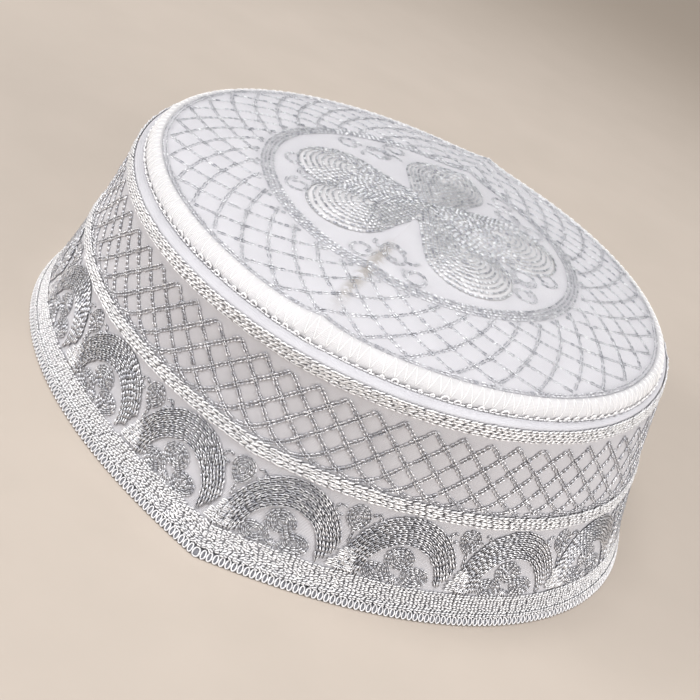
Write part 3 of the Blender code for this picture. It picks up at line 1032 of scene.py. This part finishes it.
# %% Set out one fan
FANS = 17
FAN_FOOT = 8.6
FAN_OUTER = (15.2, 18.4)  # (half_width, height)
FAN_INNER = (9.6, 10.0)
FAN_ROWS = 7
FAN_STAGGER = 3.2  # degrees by which each row outwards ends sooner on the right
FAN_LEFT = 1.1  # how much wider the left half of a fan is
FAN_LEFT_END = math.radians(182)  # the angle at which a row ends on the left
FAN_PITCH = AROUND / FANS


def fan_rows(middle):
    rows = []
    for number in range(FAN_ROWS):
        share = (number + 0.5) / FAN_ROWS
        half_width = FAN_OUTER[0] + (FAN_INNER[0] - FAN_OUTER[0]) * share
        height = FAN_OUTER[1] + (FAN_INNER[1] - FAN_OUTER[1]) * share
        right_end = math.radians(FAN_STAGGER * (FAN_ROWS - 1 - number))
        angle = np.linspace(right_end, FAN_LEFT_END, 90)
        aside = half_width * np.cos(angle)
        aside = np.where(aside < 0, aside * FAN_LEFT, aside)
        rows.append((middle + aside, FAN_FOOT + height * np.sin(angle)))
    return rows


fan_stitch = dict(
    strand=CLOSE_STRAND, thread=0.42, length=1.5, finish=silver_thread, painted_shade_strength=1.0, eye=True, lift=0.05
)
fan_middles = [(number + 0.5) * FAN_PITCH for number in range(FANS)]
for number, middle in enumerate(fan_middles):
    label = f"{number + 1:02d}"
    solid = f"scroll_fan_{label}"
    sew(f"fan_rows_{label}", fan_rows(middle), on_wall, seed=100 + number, solid=solid, **fan_stitch)
print("stitches so far:", stitch_total)

# %% [markdown]
# ## The trefoils
# Inside each fan three flat spirals grow from one stem. A spiral is a circle whose radius
# shrinks as it turns, squashed a little, with a tail that leads to the stem.

# %% Wind the spirals
STEM = (-1.6, 8.4)
# (across, up, half_width, half_height, turns, start_degrees, way)
SPIRALS = (
    (-1.3, 14.6, 4.0, 3.2, 3.6, 215, -1),
    (-6.7, 10.3, 3.8, 2.5, 2.9, 330, -1),
    (3.5, 10.7, 4.1, 2.7, 3.1, 210, 1),
)
SPIRAL_CORE = 0.16  # the radius at which a spiral stops, as a share of its outer radius


def spiral_row(middle, spiral):
    across, rise, half_width, half_height, turns, start, way = spiral
    share = np.linspace(0.0, 1.0, 140)
    angle = math.radians(start) + way * 2 * math.pi * turns * share
    radius = 1 - (1 - SPIRAL_CORE) * share
    x = across + half_width * radius * np.cos(angle)
    y = rise + half_height * radius * np.sin(angle)
    tail = np.linspace(0.0, 1.0, 12)[:-1]
    tail_x = STEM[0] + (x[0] - STEM[0]) * tail
    tail_y = STEM[1] + (y[0] - STEM[1]) * tail
    return middle + np.concatenate([tail_x, x]), np.concatenate([tail_y, y])


STEM_REACH = (-1.1, 1.3)  # how far below and above the stem's point its rows go


def stem_rows(middle):
    """Three short rows that spread into a tuft below the stem."""
    rise = np.linspace(*STEM_REACH, 8)
    return [
        (middle + STEM[0] + lean * 0.9 * (0.6 - rise * 0.35), STEM[1] + rise) for lean in (-1, 0, 1)
    ]


trefoil_stitch = dict(
    strand=NARROW_STRAND, thread=0.36, length=1.25, finish=silver_thread, painted_shade_strength=0.9, lift=0.1
)
for number, middle in enumerate(fan_middles):
    label = f"{number + 1:02d}"
    rows = [spiral_row(middle, spiral) for spiral in SPIRALS] + stem_rows(middle)
    solid = f"trefoil_{label}"
    sew(f"trefoil_rows_{label}", rows, on_wall, seed=200 + number, solid=solid, **trefoil_stitch)
print("stitches so far:", stitch_total)

# %% [markdown]
# ## Sprigs between the fans
# Above the place where two fans meet stands a small bud with a curl on each side, and below
# it short level rows fill the notch. They are too fine to be solids, so they are only sewn.

# %% Sew the sprigs
# The bud's nested ovals. (half_width, half_height)
BUD = ((2.9, 3.3), (1.9, 2.2), (0.9, 1.1))
BUD_HEIGHT = 22.6
# (across, up, radius, start_degrees)
CURLS = ((-4.9, 23.2, 1.3, -40), (4.9, 23.4, 1.3, 220))
# The rows in the notch. (height, half_width)
NOTCH_ROWS = ((8.9, 3.4), (9.9, 3.0), (10.9, 2.7), (11.9, 2.3), (12.9, 1.9), (13.9, 1.3))
NOTCH_SHIFT = 0.4
BUD_STALK = (15.4, 19.4)  # where the stalk under a bud starts and ends
BUD_PINCH = 0.35  # how much narrower a bud is at its foot


def sprig_rows(middle):
    rows = []
    for half_width, half_height in BUD:
        angle = np.linspace(math.radians(-90), math.radians(270), 60)
        pinch = 1 - BUD_PINCH * np.maximum(0.0, -np.sin(angle))
        rows.append((middle + half_width * pinch * np.cos(angle), BUD_HEIGHT + half_height * np.sin(angle)))
    rise = np.linspace(*BUD_STALK, 12)
    rows.append((middle + 0.0 * rise, rise))
    for across, height, radius, start in CURLS:
        angle = math.radians(start) + np.sign(across) * np.linspace(0.0, 1.5 * math.pi, 30)
        rows.append((middle + across + radius * np.cos(angle), height + radius * np.sin(angle)))
    return rows


def notch_rows(middle):
    rows = []
    for height, half_width in NOTCH_ROWS:
        reach = np.linspace(-half_width, half_width, 12)
        rows.append((middle + NOTCH_SHIFT + reach, height + 0.0 * reach))
    return rows


joins = [number * FAN_PITCH for number in range(FANS)]
rows = [row for middle in joins for row in sprig_rows(middle)]
sew("sprig_rows", rows, on_wall, NARROW_STRAND, 0.36, 1.2, silver_thread, 31, painted_shade_strength=0.9)
rows = [row for middle in joins for row in notch_rows(middle)]
sew("notch_rows", rows, on_wall, CLOSE_STRAND, 0.44, 1.5, pale_thread, 32)
print("stitches so far:", stitch_total)

# %% [markdown]
# ## The crown's lattice and rings
# The crown's lines are like the side's, but set out by turn and share, so they curve. A line
# of open stitch follows the crown's edge, and four close rows make the ring round the flower.

# %% Sew the crown lattice
share = np.linspace(0.0, 1.0, 60)
rows = []
for number in range(CROWN_VS):
    start = (number + CROWN_V_START) * CROWN_V_PITCH
    for way in (1, -1):
        ratio = CROWN_V_OUTER + (CROWN_V_INNER - CROWN_V_OUTER) * share
        rows.append((start + way * CROWN_V_SWEEP * share, ratio))
crown_stitch = dict(length=1.6, finish=crown_lit_thread)
sew(
    "crown_lattice_lines", rows, on_crown, SPLIT_STRAND, 0.36, seed=41, painted_shade_strength=0.3, size=0.88, **crown_stitch
)

MEDALLION = (0.59, 0.648)  # from and to, as shares of the way to the crown's edge
MEDALLION_ROWS = 4
EDGE_LINE = 0.99


def ring_row(ratio):
    turn = np.linspace(-math.pi, math.pi, 1441)
    return turn, np.full(1441, ratio)


room = (MEDALLION[1] - MEDALLION[0]) / MEDALLION_ROWS
rows = [ring_row(MEDALLION[0] + (number + 0.5) * room) for number in range(MEDALLION_ROWS)]
ring_stitch = dict(painted_shade_strength=0.15, **crown_stitch)
sew("medallion_rows", rows, on_crown, SHORT_STRAND, 0.28, seed=42, solid="medallion_ring", **ring_stitch)
rows = [ring_row(EDGE_LINE)]
sew("crown_edge_line", rows, on_crown, SPLIT_STRAND, 0.32, seed=43, lift=0.1, **ring_stitch)
print("stitches so far:", stitch_total)

# %% [markdown]
# ## The flower
# Five petals lie in the middle of the crown, each a drop filled with rows that run from the
# middle of the flower, round the petal's eye and back. They are padded, so each petal swells
# towards its eye. A drop is the outline round a point and a circle, and a smaller drop about
# the same circle lies evenly inside it, so one number, the level, says how deep inside the
# petal a point is. The level gives the swelling and the rows. Each drop's point lies past the
# middle of the flower, so the petals meet there side by side and not in points.

# %% Measure how deep a point lies in a petal
# (bearing, length, half_width)
PETALS = (
    (49.0, 40.5, 13.5),
    (112.0, 42.0, 14.0),
    (185.0, 38.5, 12.5),
    (275.0, 40.0, 13.5),
    (323.0, 39.5, 12.5),
)
PETAL_PAST = 11.0  # how far past the middle of the flower a drop's point is
PETAL_PUFF = 1.7
PETAL_SOFT = 0.8  # under 1 the padding ends steeply, over 1 it thins out


def petal_spread(petal):
    """Half the angle at the point of a drop."""
    _, length, half_width = petal
    return math.asin(half_width / (length - half_width + PETAL_PAST))


def petal_level(x, y, petal):
    """0 at the petal's eye, 1 on its outline, more outside."""
    bearing, length, half_width = petal
    eye = length - half_width
    spread = petal_spread(petal)
    turn = math.radians(bearing)
    out = x * math.sin(turn) - y * math.cos(turn) - eye
    aside = np.abs(x * math.cos(turn) + y * math.sin(turn))
    round_end = np.hypot(out, aside) / half_width
    straight = (-out * math.sin(spread) + aside * math.cos(spread)) / half_width
    past = np.arctan2(aside, out) > math.pi / 2 + spread
    return np.where(past, straight, round_end)


def flower_lift(x, y):
    level = np.min([petal_level(x, y, petal) for petal in PETALS], axis=0)
    return PETAL_PUFF * np.clip(1 - level**2, 0.0, 1.0) ** PETAL_SOFT


def on_flower(x, y, off=0.0):
    return crown_top(x, y, flower_lift(x, y) + off)


print("petals:", len(PETALS))

# %% [markdown]
# Under the petals lies padding, thickest at each petal's eye. The outline of all five is found
# by walking out from the flower's middle on each bearing until no petal holds the point any
# more. Rings of points run in from there to the middle, on the swollen surface.

# %% Pad the petals
FLOWER_COLUMNS = 360
FLOWER_UNDER = 0.2  # how deep the padding sits in the crown's cloth
FLOWER_SUNK = 0.05  # how far its top is below the stitches' own surface
FLOWER_RINGS = 30
UNDER_RINGS = (0.05, 0.3, 0.6, 0.85, 0.97)  # rings of the underside, as shares of the way out


def flower_reach(bearing):
    """How far out along a bearing the last point inside a petal is."""
    reaches = np.linspace(0.0, 45.0, 451)[:, None]
    x, y = reaches * np.sin(bearing), -reaches * np.cos(bearing)
    inside = np.min([petal_level(x, y, petal) for petal in PETALS], axis=0) < 1.0
    return np.max(np.where(inside, reaches, 0.0), axis=0)


bearings = np.linspace(-math.pi, math.pi, FLOWER_COLUMNS, endpoint=False)
outline = flower_reach(bearings)


def flower_ring(part, surface, below):
    x, y = outline * part * np.sin(bearings), -outline * part * np.cos(bearings)
    return surface(x, y, -below)


loops = [flower_ring(part, crown_top, FLOWER_UNDER) for part in UNDER_RINGS]
loops += [flower_ring(part, on_flower, FLOWER_SUNK) for part in np.linspace(1.0, 0.05, FLOWER_RINGS)]
padding = hoop_piece("flower_padding", loops, welt_cotton, "rosette")
map_cloth(padding, np.concatenate(loops)[:, :2])
print("flower padding:", len(padding.data.vertices), "points")

# %% [markdown]
# The rows of a petal are drops inside drops. On the real flower they lie wider apart at the
# round end than along the sides, so each inner drop is slid towards the flower's middle. Where
# two petals overlap, a stitch stays only on the petal that it lies deeper in.

# %% Sew the petals
PETAL_ROW = 1.2
PETAL_FIRST = 0.25  # how far inside the outline the first row is, in rows
PETAL_HEART = 0.52  # where the innermost drop is, as a share of the petal's length


def drop_shift(petal, level):
    """Inner drops sit nearer the flower's middle, so the rows spread at the round end."""
    _, length, half_width = petal
    return (PETAL_HEART * length - (length - half_width)) * (1 - level)


def drop_row(petal, level):
    """The outline of the drop at a level, from the middle of the flower and back."""
    bearing, length, half_width = petal
    eye = length - half_width
    spread = petal_spread(petal)
    angle = np.linspace(-math.pi / 2 - spread, math.pi / 2 + spread, 90)
    straight = np.linspace(0.0, 1.0, 40)[:-1]
    out = half_width * level * np.cos(angle)
    aside = half_width * level * np.sin(angle)
    tip = -(eye + PETAL_PAST) * level
    out = np.concatenate([tip + (out[0] - tip) * straight, out, (tip + (out[-1] - tip) * straight)[::-1]])
    aside = np.concatenate([aside[0] * straight, aside, (aside[-1] * straight)[::-1]])
    out = out + eye + drop_shift(petal, level)
    turn = math.radians(bearing)
    return out * math.sin(turn) + aside * math.cos(turn), -out * math.cos(turn) + aside * math.sin(turn)


def nearest_petal_is(number):
    def keep(place):
        x, y = place[:, 0], place[:, 1]
        levels = np.array([petal_level(x, y, petal) for petal in PETALS])
        return levels[number] <= np.min(levels, axis=0) + 0.02

    return keep


for number, petal in enumerate(PETALS):
    half_width = petal[2]
    count = int(half_width / PETAL_ROW)
    insides = [half_width - (row + PETAL_FIRST) * PETAL_ROW for row in range(count)]
    rows = [drop_row(petal, inside / half_width) for inside in insides]
    keep = nearest_petal_is(number)
    name, seed = f"petal_rows_{number + 1}", 51 + number
    sew(
        name, rows, on_flower, SHORT_STRAND, 0.31, seed=seed, painted_shade_strength=0.2, size=1.1, keep=keep, **crown_stitch
    )
print("stitches so far:", stitch_total)

# %% [markdown]
# ## Cloud scrolls
# Between the petals and the ring lie five groups of three curls, like small clouds. Each curl
# is an open circle with a hook inside. A group is set out round its own middle line.

# %% Sew the cloud scrolls
# Where each group is, in degrees from the front crease.
CLOUDS = (4.7, 82.0, 146.7, 225.6, 294.5)
# The curls of a group, aside and out from its middle. (aside, out, radius, start_degrees, turns)
CLOUD_CURLS = (
    (-8.0, 2.2, 3.7, 350.0, 1.15),
    (0.0, -1.8, 4.2, 300.0, -1.75),
    (8.0, 2.2, 3.7, 190.0, -1.15),
)
CLOUD_REACH = 36.0  # how far from the crown's middle a group is
CLOUD_CORE = 0.42  # the radius at which a curl ends, as a share of its radius
# Arcs that join the curls. (aside, out, radius, start_degrees, end_degrees)
CLOUD_JOINS = ((-4.2, -4.4, 2.4, 60.0, 200.0), (4.2, -4.4, 2.4, 120.0, -20.0))


def cloud_rows(bearing):
    rows = []
    turn = math.radians(bearing)

    def placed(aside, out):
        out = out + CLOUD_REACH
        return out * math.sin(turn) + aside * math.cos(turn), -out * math.cos(turn) + aside * math.sin(turn)

    for aside, out, radius, start, turns in CLOUD_CURLS:
        share = np.linspace(0.0, 1.0, 90)
        angle = math.radians(start) + 2 * math.pi * turns * share
        reach = radius * (1 - (1 - CLOUD_CORE) * share**1.5)
        rows.append(placed(aside + reach * np.cos(angle), out + reach * np.sin(angle)))
    for aside, out, radius, start, end in CLOUD_JOINS:
        angle = np.radians(np.linspace(start, end, 30))
        rows.append(placed(aside + radius * np.cos(angle), out + radius * np.sin(angle)))
    return rows


rows = [row for bearing in CLOUDS for row in cloud_rows(bearing)]
sew(
    "cloud_scroll_rows", rows, crown_top, SPLIT_STRAND, 0.34, 1.4, crown_lit_thread, 61, painted_shade_strength=0.2, size=0.85
)
print("stitches so far:", stitch_total)

# %% [markdown]
# ## Round threads
# Three threads are not chain stitch: the overlocking on the rim, the curly yarn on the seam
# and the zig-zag on the welt. A curve object with a bevel would be the usual way, but here
# hundreds of short runs share one mesh. Each run is a line of points with the outward
# direction at each, and a small ring of points is set round it.

# %% Wrap a tube round many lines at once
TUBE_SHADE = (0.5, 0.25)


def tube_piece(name, lines, outwards, thick, sides, finish, seed, closed=False, **piece):
    """lines and outwards are arrays of runs, steps and xyz."""
    runs, steps = lines.shape[:2]
    if closed:
        along = np.roll(lines, -1, axis=1) - np.roll(lines, 1, axis=1)
    else:
        along = np.gradient(lines, axis=1)
    along /= np.linalg.norm(along, axis=2)[..., None]
    across = np.cross(outwards, along)
    across /= np.linalg.norm(across, axis=2)[..., None]
    rise = np.cross(along, across)
    angle = 2 * math.pi * np.arange(sides) / sides
    ring = np.cos(angle)[:, None] * across[:, :, None] + np.sin(angle)[:, None] * rise[:, :, None]
    points = lines[:, :, None] + ring * thick / 2
    first = (np.arange(runs) * steps * sides)[:, None, None]
    every = [(hoop_faces(steps, sides, closed)[None] + first).reshape(-1, 4)]
    if not closed:
        start = np.arange(sides)[::-1][None, None] + first
        end = (np.arange(sides) + (steps - 1) * sides)[None, None] + first
        every += [start.reshape(-1, sides), end.reshape(-1, sides)]
    made = make_piece(name, points.reshape(-1, 3), every, finish, "silver_thread", **piece)
    chance = np.random.default_rng(seed)
    shade = np.repeat(np.clip(chance.normal(*TUBE_SHADE, (runs, steps)), 0, 1), sides)
    mark_thread(made, shade, np.zeros(len(shade)))
    return made


print("shade of a round thread, middle and spread:", TUBE_SHADE)

# %% [markdown]
# Overlocking wraps the raw edge in loops that stand side by side, with a shadowed gap in each, where the
# edging's dark colour is painted shadow. Every loop is a small oval ring whose top leans inwards, and a short
# bar carries the thread over the edge to the inside. Their number comes from the rim's length, so they close
# evenly.

# %% Overlock the rim
LOOP_PITCH = 1.62
LOOP_THICK = 0.44
LOOP_STEPS = 12
LOOP_HEIGHT = 1.2
LOOP_LEAN = 0.5  # how far a loop leans in for each mm up, above its middle
LOOP_HALF = (0.56, 0.90)  # half of a loop's width and of its height, at the middle of its thread
LOOP_OFF = 1.3
RIM_LONGER = 1.055  # how much longer the rim is than the tape, which is measured higher up
INSIDE_BAR = ((0.35, -2.7), (0.5, -3.35), (1.2, -3.6), (2.0, -3.45), (2.4, -3.0))  # (height, off)
INSIDE_THICK = 0.9
INSIDE_MIDDLE = (1.2, -1.5)

loop_count = round(AROUND * RIM_LONGER / LOOP_PITCH)
starts = np.arange(loop_count) * AROUND / loop_count
angle = 2 * math.pi * np.arange(LOOP_STEPS) / LOOP_STEPS
distance = starts[:, None] + LOOP_HALF[0] * np.cos(angle)
height = LOOP_HEIGHT + LOOP_HALF[1] * np.sin(angle) + 0.0 * distance
off = LOOP_OFF - LOOP_LEAN * np.maximum(0.0, height - LOOP_HEIGHT)
lines = bare_wall(distance.ravel(), height.ravel(), off.ravel()).reshape(loop_count, LOOP_STEPS, 3)
outwards = bare_wall(distance.ravel(), height.ravel(), off.ravel() + 1.0).reshape(lines.shape) - lines
tube_piece("rim_overlock_loops", lines, outwards, LOOP_THICK, 5, rim_thread, 71, closed=True)

height, off = np.array(INSIDE_BAR).T
distance = starts[:, None] + 0.0 * height
height, off = height + 0.0 * distance, off + 0.0 * distance
lines = bare_wall(distance.ravel(), height.ravel(), off.ravel()).reshape(loop_count, len(INSIDE_BAR), 3)
outwards = lines - bare_wall(starts, np.full(loop_count, INSIDE_MIDDLE[0]), INSIDE_MIDDLE[1])[:, None]
outwards /= np.linalg.norm(outwards, axis=2)[..., None]
tube_piece("rim_overlock_inside", lines, outwards, INSIDE_THICK, 5, pale_thread, 72)
print("overlock loops:", loop_count)

# %% [markdown]
# The curly yarn is laid along the seam in small loops, some big and some small, like a row of
# the letter e. Such a curve is a circle rolled along a line, with the radius changed by
# chance from loop to loop.

# %% Lay the curly yarn on the seam
CURL_COUNT = 152
CURL_STEPS = 14
CURL_ANGLE = math.radians(168)  # where on the welt's section the yarn lies
CURL_SIZE = (1.0, 0.28, 0.5, 1.6)  # (middle, spread, smallest, biggest)
CURL_HALF = (0.0155, 0.36)  # half a curl's width round the cap and its height round the section, radians
CURL_LIFT = (0.35, 0.16, 0.9)  # (middle, swing, how much earlier than the curl)
CURL_THICK = 0.46
SEAM_LINE_SHIFT = 0.12  # radians round the section from the yarn to a plain row beside it

chance = np.random.default_rng(81)
steps = CURL_COUNT * CURL_STEPS
phase = 2 * math.pi * np.arange(steps) / CURL_STEPS
knots = np.clip(chance.normal(*CURL_SIZE[:2], CURL_COUNT + 1), *CURL_SIZE[2:])
knots[-1] = knots[0]
big = np.interp(np.arange(steps) / CURL_STEPS, np.arange(CURL_COUNT + 1), knots)
seam_turn = -math.pi + 2 * math.pi * np.arange(steps) / steps
turn = seam_turn - CURL_HALF[0] * big * np.sin(phase)
angle = CURL_ANGLE - CURL_HALF[1] * big * np.cos(phase)
lift = CURL_LIFT[0] + CURL_LIFT[1] * np.sin(phase + CURL_LIFT[2])
line = on_welt(turn, angle)
out_there = facing(on_welt, turn, angle)
line = line + lift[:, None] * out_there
tube_piece("seam_curly_yarn", line[None], out_there[None], CURL_THICK, 5, beige_thread, 82, closed=True)
print("curls:", CURL_COUNT)

rows = [ring_row(CURL_ANGLE + SEAM_LINE_SHIFT)]
sew("seam_line", rows, on_welt, OPEN_STRAND, 0.42, 1.6, pale_thread, 84, lift=0.1)

# %% [markdown]
# A fine white zig-zag holds the welt down. It is one thread that swings between two lines on
# the roll. No hand sets such corners evenly, so each strays a little by chance, along the roll
# and across it.

# %% Sew the zig-zag on the welt
ZIGZAG_STEPS = 6
ZIGZAG_TOP = math.radians(24)
ZIGZAG_FOOT = math.radians(146)
ZIGZAG_SLIP = math.radians(16)
ZIGZAG_CHANCE = 0.22  # how far a corner strays, as a share of the step between corners
ZIGZAG_LIFT = 0.06
ZIGZAG_THICK = 0.16

steps = 2 * ZIGZAGS * ZIGZAG_STEPS
position = np.arange(steps) / ZIGZAG_STEPS
swing = np.abs((position % 2) - 1)
chance = np.random.default_rng(85)
corner_shift = chance.normal(0.0, ZIGZAG_CHANCE, (2, 2 * ZIGZAGS + 1))
corner_shift[:, -1] = corner_shift[:, 0]
shift, stretch = (np.interp(position, np.arange(2 * ZIGZAGS + 1), row) for row in corner_shift)
turn = -math.pi + 2 * math.pi * (position + shift) / (2 * ZIGZAGS)
angle = ZIGZAG_FOOT + (ZIGZAG_TOP - ZIGZAG_FOOT) * swing + ZIGZAG_SLIP * stretch
out_there = facing(on_welt, turn, angle)
line = on_welt(turn, angle) + ZIGZAG_LIFT * out_there
tube_piece("welt_zigzag_thread", line[None], out_there[None], ZIGZAG_THICK, 4, fine_thread, 83, closed=True)
print("zig-zags:", ZIGZAGS)

# %% [markdown]
# ## What is cloth and what lies on it
# The band and the crown are sheets: each was cut flat before it was sewn. The band's flat length is the
# rim's, and its area is less than length times width because the top edge is shorter.

# %% [markdown]
# ## Floor and light
# The cap stands on a plain pale floor under soft studio light: one round lamp overhead, one low
# on the left and a wider, warmer one low on the right. Thread shines where a lamp, the strand
# and the eye line up, so fairly small lamps make the glints. A pale sky fills the shadows.

# %% Lay the floor
FLOOR_HALF = 6.0
# The floor is paler round the cap than far off, as it is in the photograph. (dark, light) up to
# FLOOR_NEAR metres from the cap's middle, and one plain colour from FLOOR_FAR on.
# The paler colour round the cap is a painted pool of light, and the darker far colour is painted shade where
# the lamps' light falls off.
FLOOR_NEAR = 0.29
FLOOR_FAR = 0.66
FLOOR_LIT_COLOURS = ((0.44, 0.385, 0.33), (0.495, 0.432, 0.374))
FLOOR_SHADED_COLOUR = (0.30, 0.252, 0.205)

mesh = bpy.data.meshes.new("floor")
corners = [(x * FLOOR_HALF, y * FLOOR_HALF, 0.0) for x, y in ((-1, -1), (1, -1), (1, 1), (-1, 1))]
mesh.from_pydata(corners, [], [(0, 1, 2, 3)])
floor_finish, tree, shader = new_finish("pale_floor")
place = add_node(tree, "TexCoord").outputs["Object"]
grain = add_node(tree, "TexNoise", {"Vector": place, "Scale": 30.0, "Detail": 4.0})
near = mix_colours(tree, grain.outputs["Fac"], *FLOOR_LIT_COLOURS)
away = add_node(tree, "VectorMath", {0: place}, operation="LENGTH")
reach = {"Value": away.outputs["Value"], "From Min": FLOOR_NEAR, "From Max": FLOOR_FAR}
share = add_node(tree, "MapRange", reach, interpolation_type="SMOOTHSTEP")
floor_colour = add_node(tree, "Mix", {"Factor": share.outputs[0]}, data_type="RGBA")
tree.links.new(near, floor_colour.inputs[6])
floor_colour.inputs[7].default_value = (*FLOOR_SHADED_COLOUR, 1.0)
tree.links.new(floor_colour.outputs[2], shader.inputs["Base Color"])
shader.inputs["Roughness"].default_value = 0.75
mesh.materials.append(floor_finish)
floor = bpy.data.objects.new("floor", mesh)
bpy.context.scene.collection.objects.link(floor)
print("floor:", 2 * FLOOR_HALF, "m across")

# %% [markdown]
# The lamps are area lights of the disk kind. Each is turned to the middle of the cap when it is
# hung, without a constraint, so nothing depends on another object. The smaller a lamp is for
# its power, the sharper and brighter the glints that it makes in the thread.

# %% Hang the lamps
# (name, place, size, watts, colour)
LAMPS = (
    ("overhead_lamp", (-0.18, -0.18, 1.78), 1.05, 26.0, (1.0, 0.99, 0.99)),
    ("left_lamp", (-1.65, -0.93, 0.67), 1.05, 28.5, (1.0, 0.985, 0.975)),
    ("right_lamp", (1.88, -0.83, 0.52), 1.5, 40.0, (1.0, 0.975, 0.95)),
)
SKY_COLOUR = (0.80, 0.79, 0.80, 1.0)
SKY_STRENGTH = 0.43

for name, place, size, watts, colour in LAMPS:
    light = bpy.data.lights.new(name, "AREA")
    light.shape = "DISK"
    light.size = size
    light.energy = watts
    light.color = colour
    lamp = bpy.data.objects.new(name, light)
    bpy.context.scene.collection.objects.link(lamp)
    lamp.location = place
    lamp.rotation_euler = (AIM - Vector(place)).to_track_quat("-Z", "Y").to_euler()

world = bpy.data.worlds.new("studio")
world.use_nodes = True
background = world.node_tree.nodes["Background"]
background.inputs["Color"].default_value = SKY_COLOUR
background.inputs["Strength"].default_value = SKY_STRENGTH
bpy.context.scene.world = world
bpy.context.scene.view_settings.view_transform = "Standard"
print("lamps:", len(LAMPS))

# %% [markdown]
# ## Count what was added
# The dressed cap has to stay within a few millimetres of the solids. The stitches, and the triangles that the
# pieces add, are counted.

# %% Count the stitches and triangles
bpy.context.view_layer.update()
triangles = sum(
    sum(polygon.loop_total - 2 for polygon in piece.data.polygons) for piece in pieces.values()
)
print("stitches:", stitch_total, "triangles added:", triangles)
